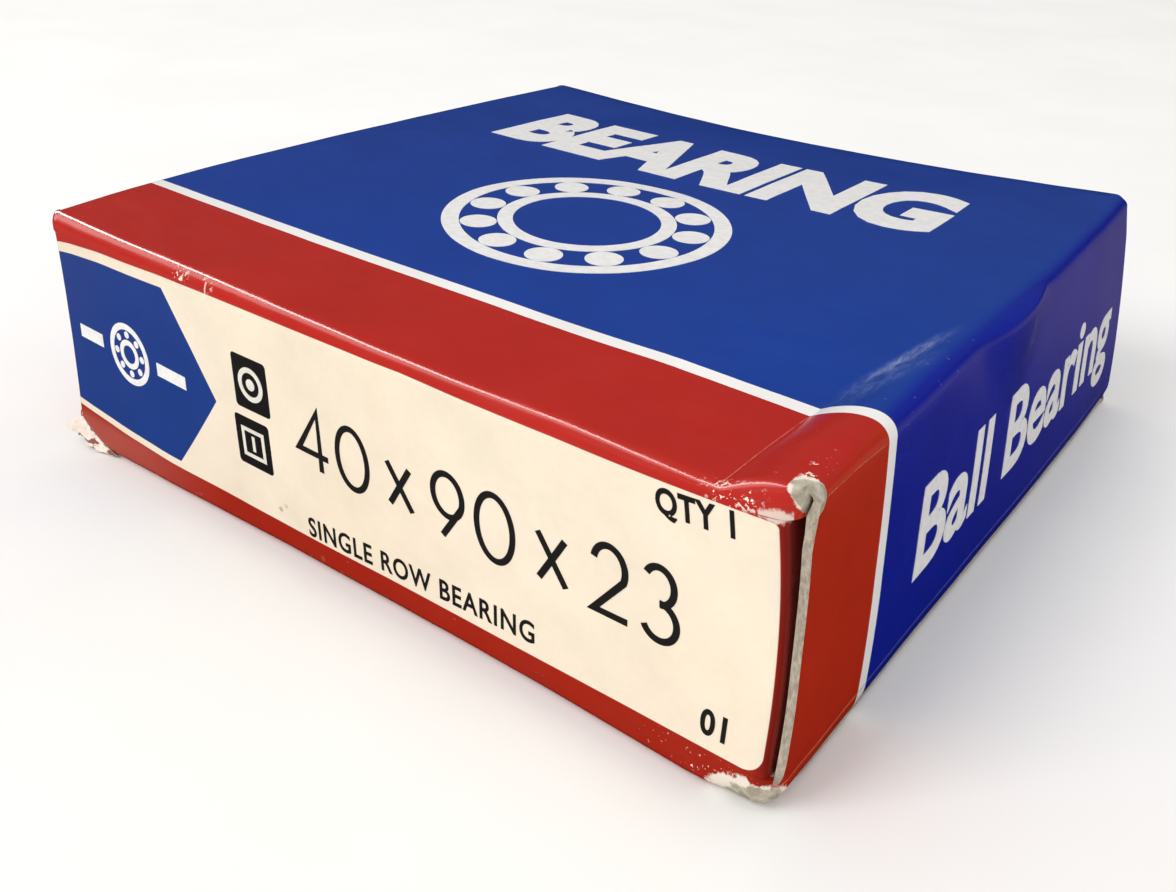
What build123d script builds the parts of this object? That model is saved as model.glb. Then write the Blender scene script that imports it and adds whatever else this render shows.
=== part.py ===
"""Boxed single-row angular contact ball bearing.

A folded board carton with a tuck closure at each end, and inside it a film-wrapped
bearing of dimension series 03: 40 mm bore, 90 mm outside diameter, 23 mm wide, with
a 40 degree contact angle, twelve balls and a window-type moulded cage.

Frame: millimetres, +Z up. The origin is the centre of the carton's base. +X runs
along the label face to its right-hand end, and +Y runs from the label face to the
back. The bearing lies flat, its axis along +Z. The two tuck closures are the
carton's -X and +X ends, and their flaps are hinged on the top panel.
"""
from build123d import *
from math import cos, sin, sqrt, tan, radians
import os

os.makedirs("parts", exist_ok=True)

# ---------------------------------------------------------------- dimensions
# Board and sleeve
board = 0.5            # thickness of the folding board
width = 93.5           # X, over the two closed end flaps
depth = 93.0           # Y, label face to back
height = 27.0          # Z
corner_r = 1.2         # rounded corners of the top and bottom panels
crease_r = 0.4         # outside radius of the long creases
wall_end = 45.6        # X where the front and back panels turn into dust flaps
base_end = 46.2        # X of the bottom panel's cut ends, under the flap folds

# Tuck closures
flap_in = width / 2 - board         # inner face of a closed end flap
flap_half = 46.2                    # half length of an end flap along Y
flap_low = 0.55                     # lower fold of an end flap
lip_len = 8.0                       # tuck lip, along its slope
lip_slope = 11.5                    # degrees, the lip springs up off the base
lip_half = 43.5                     # half length of the lip at its fold
lip_corner = 4.0                    # corner radius at the lip's free edge
lip_z = 0.6                         # underside of the lip at its fold
dust_len = 22.0                     # dust flap, along Y when closed
dust_low = 1.9                      # its lower edge at the fold
dust_top_gap = 0.6                  # drop of its upper edge at the fold
dust_taper = 0.42                   # rise per mm of the angled upper edge

# Glue flap, inside the back panel
glue_depth = 14.0
glue_half = 43.0
glue_skew = 4.0

# Bearing, series 03
bore_r = 20.0
od_r = 45.0
ring_w = 23.0
seat_z = 3.1           # bearing's lower face above the carton's base
ball_r = 15.081 / 2    # 19/32 inch balls
pitch_r = 32.5
n_balls = 12
contact = 40.0         # degrees
mid_w = ring_w / 2
groove_r = 0.52 * 2 * ball_r
race_gap = 0.06        # running clearance at each contact
inner_high_r = 29.8    # inner ring's thrust shoulder, lower side
inner_low_r = 25.15    # inner ring's relieved shoulder, upper side
inner_face_r = 24.85
outer_high_r = 35.8    # outer ring's thrust shoulder, upper side
outer_low_r = 39.85    # outer ring's relieved shoulder, lower side
outer_face_r = 40.45
edge_r = 1.5           # corner radii at the bore and the outside diameter
small_edge_r = 0.7

# Cage
pocket_gap = 0.2
cage_low, cage_high = 2.0, 20.8     # its two ends above the bearing's lower face

# Protective film
film = 0.15
film_gap = 0.06


def save(part, name):
    """Labels a finished sub-part and writes it as parts/NAME.step."""
    part.label = name
    export_step(part, f"parts/{name}.step")
    print(f"{name:26s} {part.volume:10.2f} mm3")


# ---------------------------------------------------------------- sleeve
# The four walls of the sleeve and its glued seam. They are one folded sheet, and
# each wall is a node of its own between two creases.
with BuildPart() as top_panel:
    with BuildSketch(Plane.XY.offset(height - board)):
        RectangleRounded(width, depth, corner_r)
    extrude(amount=board)
    fillet(top_panel.faces().sort_by(Axis.Z)[-1].edges(), crease_r)
save(top_panel.part, "top_panel")

with BuildPart() as bottom_panel:
    with BuildSketch(Plane.XY):
        RectangleRounded(2 * base_end, depth, corner_r)
    extrude(amount=board)
    fillet(bottom_panel.faces().sort_by(Axis.Z)[0].edges().filter_by(Axis.X), crease_r)
save(bottom_panel.part, "bottom_panel")

wall_h = height - 2 * board
with BuildPart() as front_panel:
    with BuildSketch(Plane.XZ.offset(depth / 2 - board)):
        with Locations((0, board + wall_h / 2)):
            Rectangle(2 * wall_end, wall_h)
    extrude(amount=board)
    ends = front_panel.faces().sort_by(Axis.Y)[0].edges().filter_by(Axis.Z)
    fillet(ends, crease_r)
save(front_panel.part, "front_panel")

with BuildPart() as back_panel:
    with BuildSketch(Plane.XZ.offset(-depth / 2)):
        with Locations((0, board + wall_h / 2)):
            Rectangle(2 * wall_end, wall_h)
    extrude(amount=board)
    ends = back_panel.faces().sort_by(Axis.Y)[-1].edges().filter_by(Axis.Z)
    fillet(ends, crease_r)
save(back_panel.part, "back_panel")

# The glue flap folds down from the top panel's rear crease and is glued flat to
# the back panel's inside face. Its ends are cut at a slant.
with BuildPart() as glue_flap:
    with BuildSketch(Plane.XZ.offset(-(depth / 2 - board))):
        with BuildLine():
            zt = height - board
            Polyline(
                (-glue_half, zt),
                (glue_half, zt),
                (glue_half - glue_skew, zt - glue_depth),
                (-glue_half + glue_skew, zt - glue_depth),
                close=True,
            )
        make_face()
    extrude(amount=board)
save(glue_flap.part, "glue_flap")


# ---------------------------------------------------------------- tuck closures
# Right-hand closure first. The left-hand one is its mirror image.
flap_top = height - board - 0.05
nip = 0.8              # the two lower corners are nipped off, clear of the base corners
with BuildPart() as right_end_flap:
    with BuildSketch(Plane.YZ.offset(flap_in)):
        with BuildLine():
            Polyline(
                (-flap_half, flap_top),
                (flap_half, flap_top),
                (flap_half, flap_low + nip),
                (flap_half - nip, flap_low),
                (-flap_half + nip, flap_low),
                (-flap_half, flap_low + nip),
                close=True,
            )
        make_face()
    extrude(amount=board)
    low_fold = right_end_flap.faces().sort_by(Axis.X)[-1].edges().filter_by(Axis.Y).sort_by(Axis.Z)[0]
    chamfer(low_fold, crease_r / 2)

# The lip is cut from a plane that slopes up from the flap's lower fold.
slope = radians(lip_slope)
lip_x = flap_in - 0.05
lip_plane = Plane(
    origin=(lip_x, 0, lip_z),
    x_dir=(-cos(slope), 0, sin(slope)),
    z_dir=(sin(slope), 0, cos(slope)),
)
with BuildPart() as right_tuck_lip:
    with BuildSketch(lip_plane):
        with BuildLine():
            Polyline(
                (0.1, -lip_half),
                (0.1, lip_half),
                (lip_len, lip_half - 1.6),
                (lip_len, -lip_half + 1.6),
                close=True,
            )
        make_face()
    extrude(amount=board)
    tips = right_tuck_lip.edges().filter_by(lambda e: abs(e.length - board) < 1e-3)
    tips = tips.group_by(Axis.X)[0]
    fillet(tips, lip_corner)


def dust_outline(sign):
    """Corner points (y, z) of a dust flap whose fold is on the label side (-1) or the back (+1)."""
    y0 = sign * (depth / 2 - board - 0.05)
    y1 = y0 - sign * dust_len
    zt = height - board
    return [
        (y0, dust_low),
        (y0, zt - dust_top_gap),
        (y1, zt - dust_top_gap - dust_taper * dust_len),
        (y1, dust_low + 0.9),
        (y1 + sign * 3.0, dust_low),
    ]


with BuildPart() as right_front_dust_flap:
    with BuildSketch(Plane.YZ.offset(wall_end - board)):
        with BuildLine():
            Polyline(*dust_outline(-1), close=True)
        make_face()
    extrude(amount=board)
    tip2 = right_front_dust_flap.edges().filter_by(Axis.X).group_by(Axis.Y)[-1].sort_by(Axis.Z)[-1]
    fillet(tip2, 3.0)

with BuildPart() as right_rear_dust_flap:
    with BuildSketch(Plane.YZ.offset(wall_end - board)):
        with BuildLine():
            Polyline(*dust_outline(+1), close=True)
        make_face()
    extrude(amount=board)
    tip2 = right_rear_dust_flap.edges().filter_by(Axis.X).group_by(Axis.Y)[0].sort_by(Axis.Z)[-1]
    fillet(tip2, 3.0)

with BuildPart() as left_end_flap:
    mirror(right_end_flap.part, about=Plane.YZ)
with BuildPart() as left_tuck_lip:
    mirror(right_tuck_lip.part, about=Plane.YZ)
with BuildPart() as left_front_dust_flap:
    mirror(right_front_dust_flap.part, about=Plane.YZ)
with BuildPart() as left_rear_dust_flap:
    mirror(right_rear_dust_flap.part, about=Plane.YZ)

save(right_end_flap.part, "right_end_flap")
save(right_tuck_lip.part, "right_tuck_lip")
save(right_front_dust_flap.part, "right_front_dust_flap")
save(right_rear_dust_flap.part, "right_rear_dust_flap")
save(left_end_flap.part, "left_end_flap")
save(left_tuck_lip.part, "left_tuck_lip")
save(left_front_dust_flap.part, "left_front_dust_flap")
save(left_rear_dust_flap.part, "left_rear_dust_flap")


# ---------------------------------------------------------------- bearing rings
# Each raceway is an arc a little larger than the ball. Its centre is shifted along
# the contact line, so that ball and raceway are closest at the contact angle. The
# outer ring carries the thrust on its upper side and the inner ring on its lower.
ca, sa = cos(radians(contact)), sin(radians(contact))
shift = groove_r - ball_r - race_gap
z0 = seat_z
oc_r, oc_z = pitch_r - shift * ca, z0 + mid_w - shift * sa
ic_r, ic_z = pitch_r + shift * ca, z0 + mid_w + shift * sa


def groove_z(centre_r, centre_z, r, side):
    """Height at which the raceway arc passes radius r, above (+1) or below (-1) its centre."""
    return centre_z + side * sqrt(groove_r**2 - (r - centre_r) ** 2)


with BuildPart() as outer_ring:
    with BuildSketch(Plane.XZ):
        with BuildLine():
            z_hi = groove_z(oc_r, oc_z, outer_high_r, +1)
            z_lo = groove_z(oc_r, oc_z, outer_low_r, -1)
            Polyline((outer_low_r, z_lo), (outer_face_r, z0), (od_r, z0), (od_r, z0 + ring_w), (outer_high_r, z0 + ring_w), (outer_high_r, z_hi))
            ThreePointArc((outer_high_r, z_hi), (oc_r + groove_r, oc_z), (outer_low_r, z_lo))
        make_face()
    revolve(axis=Axis.Z)
    rims = outer_ring.edges().filter_by(GeomType.CIRCLE)
    fillet([e for e in rims if abs(e.radius - od_r) < 1e-3], edge_r)
    rims = outer_ring.edges().filter_by(GeomType.CIRCLE)
    fillet([e for e in rims if abs(e.radius - outer_high_r) < 1e-3 and e.center().Z > z0 + ring_w - 0.1], small_edge_r)
    rims = outer_ring.edges().filter_by(GeomType.CIRCLE)
    fillet([e for e in rims if abs(e.radius - outer_face_r) < 1e-3], small_edge_r)
save(outer_ring.part, "outer_ring")

with BuildPart() as inner_ring:
    with BuildSketch(Plane.XZ):
        with BuildLine():
            z_hi = groove_z(ic_r, ic_z, inner_low_r, +1)
            z_lo = groove_z(ic_r, ic_z, inner_high_r, -1)
            Polyline((inner_low_r, z_hi), (inner_face_r, z0 + ring_w), (bore_r, z0 + ring_w), (bore_r, z0), (inner_high_r, z0), (inner_high_r, z_lo))
            ThreePointArc((inner_high_r, z_lo), (ic_r - groove_r, ic_z), (inner_low_r, z_hi))
        make_face()
    revolve(axis=Axis.Z)
    rims = inner_ring.edges().filter_by(GeomType.CIRCLE)
    fillet([e for e in rims if abs(e.radius - bore_r) < 1e-3], edge_r)
    rims = inner_ring.edges().filter_by(GeomType.CIRCLE)
    fillet([e for e in rims if abs(e.radius - inner_high_r) < 1e-3 and e.center().Z < z0 + 0.1], small_edge_r)
    rims = inner_ring.edges().filter_by(GeomType.CIRCLE)
    fillet([e for e in rims if abs(e.radius - inner_face_r) < 1e-3], small_edge_r)
save(inner_ring.part, "inner_ring")

# ---------------------------------------------------------------- cage
# A leaning ring: wide at the bottom, where the outer ring is relieved, and narrow
# at the top, where the outer ring's thrust shoulder comes in. Twelve ball pockets
# are cut through it, with a grease notch between each pair on the upper rim.
bar_plane = Plane(origin=(0, 0, 0), x_dir=(cos(radians(15)), sin(radians(15)), 0), z_dir=(sin(radians(15)), -cos(radians(15)), 0))
with BuildPart() as cage:
    with BuildSketch(bar_plane):
        with BuildLine():
            Polyline(
                (31.2, z0 + cage_low),
                (37.0, z0 + cage_low),
                (37.0, z0 + 4.6),
                (34.9, z0 + 18.2),
                (34.9, z0 + cage_high),
                (29.2, z0 + cage_high),
                (29.2, z0 + 18.2),
                (31.2, z0 + 4.6),
                close=True,
            )
        make_face()
    revolve(axis=Axis.Z)
    with BuildSketch(Plane.XY.offset(z0 + cage_high - 1.0)):
        with PolarLocations(pitch_r - 0.4, n_balls, start_angle=15):
            SlotCenterToCenter(2.6, 1.9)
    extrude(amount=2.0, mode=Mode.SUBTRACT)
    with PolarLocations(pitch_r, n_balls):
        with Locations((0, 0, z0 + mid_w)):
            Sphere(ball_r + pocket_gap, rotation=(0, 90, 0), mode=Mode.SUBTRACT)
save(cage.part, "cage")

# ---------------------------------------------------------------- balls
balls = []
for k in range(n_balls):
    a = radians(360 / n_balls * k)
    with BuildPart() as ball:
        with Locations((pitch_r * cos(a), pitch_r * sin(a), z0 + mid_w)):
            Sphere(ball_r)
    balls.append(ball.part)
    save(ball.part, f"ball_{k + 1:02d}")

# ---------------------------------------------------------------- protective film
# A rust-preventive film round the outside diameter, folded in over both faces of
# the outer ring.
with BuildPart() as protective_film:
    ri = od_r + film_gap
    ro = ri + film
    zb, zt = z0 - film_gap, z0 + ring_w + film_gap
    with BuildSketch(Plane.XZ):
        with BuildLine():
            Polyline(
                (41.5, zb - film),
                (ro, zb - film),
                (ro, zt + film),
                (38.0, zt + film),
                (38.0, zt),
                (ri, zt),
                (ri, zb),
                (41.5, zb),
                close=True,
            )
        make_face()
    revolve(axis=Axis.Z)
save(protective_film.part, "protective_film")
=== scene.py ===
import math, random
import bpy, bmesh
import numpy as np
from mathutils import Matrix, Vector


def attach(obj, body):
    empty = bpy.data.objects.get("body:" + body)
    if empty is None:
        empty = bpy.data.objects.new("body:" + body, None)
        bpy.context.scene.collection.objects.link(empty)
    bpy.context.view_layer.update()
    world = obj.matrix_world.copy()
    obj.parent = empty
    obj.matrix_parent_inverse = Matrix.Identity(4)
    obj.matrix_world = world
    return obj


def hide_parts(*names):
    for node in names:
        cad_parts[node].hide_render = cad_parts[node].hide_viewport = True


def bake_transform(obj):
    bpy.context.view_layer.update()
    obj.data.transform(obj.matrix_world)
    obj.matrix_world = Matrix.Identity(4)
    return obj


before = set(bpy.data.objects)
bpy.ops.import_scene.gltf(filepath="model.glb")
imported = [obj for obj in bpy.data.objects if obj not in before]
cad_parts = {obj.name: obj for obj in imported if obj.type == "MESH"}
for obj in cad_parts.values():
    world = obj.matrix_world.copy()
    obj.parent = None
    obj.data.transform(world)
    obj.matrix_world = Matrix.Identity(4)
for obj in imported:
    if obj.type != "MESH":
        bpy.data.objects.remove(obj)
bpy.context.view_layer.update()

MM = 0.001
W, D, H = 93.5, 93.0, 27.0
W2, D2 = W / 2, D / 2
T = 0.55                     # board thickness shown at cut edges
rng = np.random.default_rng(7)

# ------------------------------------------------------------------ shape of the worn carton
# A carton that has been handled is no longer square: its right-hand end leans, its
# corners are pushed in or out, and its faces are slightly bowed. LATTICE holds how far
# the control points of a smooth 5 x 5 x 3 block of space are moved, in mm, so that
# every board piece is bent by the same amount where pieces meet.
LATTICE = np.array([
    0.5, 0.45, 0, 0.85, 1.75, 0.1, 0.6, 1.9, 0.1,
    0.35, 0.35, 0, -0.05, 0.35, 0.35, -0.95, -0.15, 1,
    0.1, 0.2, 0, -0.35, -0.15, 0.45, -0.9, -0.65, 0.95,
    -0.15, -0.05, 0, -0.2, -0.15, 0.4, -0.25, -0.2, 0.95,
    -0.45, -0.25, 0, 0.15, 0.15, 0.3, 0.9, 0.7, 0.8,
    0.45, 0.25, 0, 0.4, 0.55, -0.1, 0.35, 0.5, -0.3,
    0.3, 0.2, 0, 0.05, 0.15, 0.1, -0.2, 0.1, 0.3,
    0.1, 0.1, 0, -0.15, -0.05, 0.15, -0.4, -0.2, 0.4,
    -0.05, 0, 0, -0.15, -0.15, 0.05, -0.25, -0.3, 0.1,
    -0.15, 0, 0, 0, -0.15, -0.2, 0.2, -0.4, -0.65,
    0.6, 0.35, 0, 0.3, 0.05, -0.2, 0.2, 0.3, -0.2,
    0.4, 0.2, 0, 0.1, 0, -0.1, -0.05, -0.1, -0.2,
    0.25, 0.1, 0, -0.05, -0.05, -0.05, -0.3, -0.2, -0.05,
    0.2, 0.1, 0, -0.1, -0.15, -0.15, -0.4, -0.4, -0.35,
    0.2, 0.1, 0, -0.1, -0.3, -0.45, -0.4, -0.8, -1.15,
    0.9, 0.2, 0, 0.45, -0.2, -0.25, -0.4, -1.65, -1.4,
    0.6, 0.2, 0, 0.1, -0.05, -0.1, -0.8, -0.75, -0.55,
    0.65, 0.2, 0, 0, 0, -0.05, -0.7, -0.35, -0.25,
    0.75, 0.15, 0, -0.05, -0.05, -0.15, -0.85, -0.35, -0.3,
    0.7, 0.05, 0, -0.15, -0.2, -0.3, -1.2, -0.65, -0.75,
    0.85, -1.75, 0, 1.2, 0.55, 0.65, -1.3, -0.1, 0.35,
    0.45, -0.05, 0, 0.15, 0.35, 0.4, -2.5, -0.15, 0.6,
    1.4, 0.45, 0, 0.15, 0.2, 0.1, -1.2, -0.2, 0.05,
    1.7, 0.3, 0, 0.15, 0.1, 0.05, -1.35, -0.2, 0.05,
    1.35, -0.1, 0, 0.05, 0, 0.15, -2.65, -0.15, 0.5,
], float).reshape(5, 5, 3, 3)


def bernstein(t, n):
    k = n - 1
    return np.stack([math.comb(k, i) * t**i * (1 - t) ** (k - i) for i in range(n)], -1)


def warp(P):
    """Rest position of the square carton (mm) to its place in the worn carton (mm)."""
    P = np.asarray(P, float)
    shape = P.shape
    P = P.reshape(-1, 3)
    u = np.clip(P[:, 0] / W + 0.5, 0, 1)
    v = np.clip(P[:, 1] / D + 0.5, 0, 1)
    w = np.clip(P[:, 2] / H, 0, 1)
    bu, bv, bw = bernstein(u, 5), bernstein(v, 5), bernstein(w, 3)
    out = P + np.einsum("ni,nj,nk,ijkc->nc", bu, bv, bw, LATTICE)
    return out.reshape(shape)


def smooth01(t):
    t = np.clip(t, 0, 1)
    return t * t * (3 - 2 * t)


# ------------------------------------------------------------------ node helper
class Nodes:
    """Small helper to write shader arithmetic."""

    def __init__(self, name):
        self.mat = bpy.data.materials.new(name)
        self.mat.use_nodes = True
        self.t = self.mat.node_tree
        self.t.nodes.clear()
        self.out = self.t.nodes.new("ShaderNodeOutputMaterial")
        self.bsdf = self.t.nodes.new("ShaderNodeBsdfPrincipled")
        self.t.links.new(self.bsdf.outputs[0], self.out.inputs[0])

    def put(self, value, socket):
        if isinstance(value, bpy.types.NodeSocket):
            self.t.links.new(value, socket)
        elif value is not None:
            socket.default_value = value

    def m(self, op, a, b=None, c=None, clamp=False):
        n = self.t.nodes.new("ShaderNodeMath")
        n.operation = op
        n.use_clamp = clamp
        self.put(a, n.inputs[0])
        self.put(b, n.inputs[1])
        self.put(c, n.inputs[2])
        return n.outputs[0]

    def add(self, a, b): return self.m("ADD", a, b)
    def sub(self, a, b): return self.m("SUBTRACT", a, b)
    def mul(self, a, b): return self.m("MULTIPLY", a, b)
    def mx(self, a, b): return self.m("MAXIMUM", a, b)
    def mn(self, a, b): return self.m("MINIMUM", a, b)
    def ab(self, a): return self.m("ABSOLUTE", a)

    def ramp(self, v, lo, hi, a=0.0, b=1.0, kind="SMOOTHSTEP"):
        n = self.t.nodes.new("ShaderNodeMapRange")
        n.interpolation_type = kind
        self.put(v, n.inputs[0])
        for i, x in enumerate((lo, hi, a, b)):
            self.put(x, n.inputs[i + 1])
        return n.outputs[0]

    def below(self, v, edge, soft=0.03):
        """1 where v < edge."""
        return self.ramp(v, edge - soft, edge + soft, 1.0, 0.0)

    def above(self, v, edge, soft=0.03):
        return self.ramp(v, edge - soft, edge + soft, 0.0, 1.0)

    def mix(self, f, a, b):
        n = self.t.nodes.new("ShaderNodeMix")
        n.data_type = "RGBA"
        self.put(f, n.inputs[0])
        for v, s in ((a, n.inputs[6]), (b, n.inputs[7])):
            if isinstance(v, (tuple, list)) and len(v) == 3:
                v = (*v, 1.0)
            self.put(v, s)
        return n.outputs[2]

    def mixf(self, f, a, b):
        n = self.t.nodes.new("ShaderNodeMix")
        n.data_type = "FLOAT"
        self.put(f, n.inputs[0])
        self.put(a, n.inputs[2])
        self.put(b, n.inputs[3])
        return n.outputs[0]

    def noise(self, vec, scale, detail=3.0, rough=0.55, distort=0.0):
        n = self.t.nodes.new("ShaderNodeTexNoise")
        self.put(vec, n.inputs["Vector"])
        n.inputs["Scale"].default_value = scale
        n.inputs["Detail"].default_value = detail
        n.inputs["Roughness"].default_value = rough
        n.inputs["Distortion"].default_value = distort
        return n.outputs["Fac"]

    def voronoi(self, vec, scale, feature="F1"):
        n = self.t.nodes.new("ShaderNodeTexVoronoi")
        n.feature = feature
        self.put(vec, n.inputs["Vector"])
        n.inputs["Scale"].default_value = scale
        return n.outputs["Distance"]

    def rest(self):
        """x, y and z of the square carton in mm, carried by the two UV maps of a board piece."""
        out = []
        for name in ("ra", "rb"):
            n = self.t.nodes.new("ShaderNodeUVMap")
            n.uv_map = name
            s = self.t.nodes.new("ShaderNodeSeparateXYZ")
            self.t.links.new(n.outputs[0], s.inputs[0])
            out += [self.mul(s.outputs[0], 100.0), self.mul(s.outputs[1], 100.0)]
        return out[:3]

    def lines(self):
        """Distance in mm from the crease of the top panel, and height on the label or below the flap's crease."""
        n = self.t.nodes.new("ShaderNodeUVMap")
        n.uv_map = "rc"
        s = self.t.nodes.new("ShaderNodeSeparateXYZ")
        self.t.links.new(n.outputs[0], s.inputs[0])
        return self.mul(s.outputs[0], 100.0), self.mul(s.outputs[1], 100.0)

    def vec(self, x, y, z):
        n = self.t.nodes.new("ShaderNodeCombineXYZ")
        for i, v in enumerate((x, y, z)):
            self.put(v, n.inputs[i])
        return n.outputs[0]

    def scale_vec(self, v, s):
        n = self.t.nodes.new("ShaderNodeMapping")
        self.put(v, n.inputs[0])
        n.inputs["Scale"].default_value = s
        return n.outputs[0]

    def objco(self, mm=True):
        n = self.t.nodes.new("ShaderNodeTexCoord")
        if not mm:
            return n.outputs["Object"]
        return self.scale_vec(n.outputs["Object"], (1000, 1000, 1000))

    def bump(self, height, strength, distance, normal=None):
        n = self.t.nodes.new("ShaderNodeBump")
        n.inputs["Strength"].default_value = strength
        n.inputs["Distance"].default_value = distance
        self.put(height, n.inputs["Height"])
        self.put(normal, n.inputs["Normal"])
        return n.outputs[0]

    def ellipsoid(self, x, y, z, c, r, wob=None, amount=0.0):
        """Scaled distance from a centre: below 1 is inside."""
        q = [self.m("POWER", self.mul(self.sub(v, c[i]), 1.0 / r[i]), 2.0) for i, v in enumerate((x, y, z))]
        d = self.m("SQRT", self.add(self.add(q[0], q[1]), q[2]))
        if wob is not None:
            d = self.add(d, self.mul(self.sub(wob, 0.5), amount))
        return d

    def set(self, name, value):
        self.put(value, self.bsdf.inputs[name])


# Print colours. The deep blue and the side and front reds are painted light: deeper or darker copies of the same inks
# for faces that get less light.
BLUE = (0.0100, 0.050, 0.325)
BLUE_SIDE_PAINTED_SHADE = (0.0045, 0.0135, 0.325)
RED = (0.475, 0.021, 0.014)
RED_SIDE_PAINTED_SHADE = (0.50, 0.024, 0.0050)
RED_FRONT_PAINTED_SHADE = (0.365, 0.0175, 0.006)
WHITE = (0.95, 0.94, 0.93)
CREAM = (0.91, 0.805, 0.655)
RAW = (0.40, 0.355, 0.275)
RAW_LIGHT = (0.80, 0.73, 0.62)
BLACK = (0.012, 0.011, 0.011)
LINE_Y = -31.65
LINE_W = 0.80


# The top panel's right-hand fold is crushed near the label: the panel dips to a crease,
# the board swells beyond it and rolls over into the end flap. At each Y the section from
# the crease to the flap is one cubic curve, and these are its four control points (x, z).
FOLD_Y = [-46.5, -38.0, -31.7, -25.0, -18.0, -10.0, 0.0, 12.0, 46.5]
FOLD_P = np.array([
    [(40.35, 26.20), (42.9, 27.35), (47.5, 28.55), (47.5, 26.45)],
    [(40.55, 26.00), (43.1, 27.40), (47.6, 28.40), (47.6, 26.10)],
    [(40.85, 25.95), (43.4, 27.30), (47.5, 28.00), (47.5, 25.50)],
    [(41.70, 26.15), (44.0, 27.20), (47.3, 27.50), (47.3, 25.30)],
    [(43.00, 26.50), (44.8, 27.10), (47.1, 27.10), (47.1, 25.25)],
    [(44.20, 26.85), (45.3, 27.02), (46.9, 26.70), (46.9, 25.25)],
    [(44.90, 27.00), (45.9, 27.00), (46.8, 26.40), (46.8, 25.30)],
    [(45.15, 27.00), (46.1, 27.00), (46.75, 26.30), (46.75, 25.40)],
    [(45.30, 27.00), (46.2, 27.00), (46.75, 26.30), (46.75, 25.45)],
])


def fold_points(y):
    """The four control points of the right-hand fold at y, as a (4, 2) array."""
    return np.array([[np.interp(y, FOLD_Y, FOLD_P[:, k, i]) for i in (0, 1)] for k in range(4)])


def crease_x(y):
    return np.interp(np.asarray(y, float), FOLD_Y, FOLD_P[:, 0, 0])


def fold_curve(y, t):
    p = fold_points(y)
    t = np.asarray(t, float)[:, None]
    return (1 - t) ** 3 * p[0] + 3 * (1 - t) ** 2 * t * p[1] + 3 * (1 - t) * t * t * p[2] + t ** 3 * p[3]


def top_z(x, y):
    """Height of the top panel at x, y up to the right-hand fold's outermost line."""
    x = np.asarray(x, float)
    xc = float(crease_x(y))
    depth = 27.0 - float(np.interp(y, FOLD_Y, FOLD_P[:, 0, 1]))
    t = np.clip((x - 24.5) / (xc - 24.5), 0, 1)
    flat = 27.0 - depth * t ** 1.35 * smooth01(t * 3.0)
    c = fold_curve(y, np.linspace(0, 1, 60))
    return np.where(x <= xc, flat, np.interp(x, c[:, 0], c[:, 1]))


def plate_x(y, z):
    """How far out the right-hand flap's plate stands: it springs away from the carton near its front top corner."""
    p = fold_points(y)[3]
    t = np.clip((np.asarray(z, float) - 13.0) / (p[1] - 13.0), 0, 1)
    return 46.75 + (p[0] - 46.75) * t ** 1.5


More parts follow.
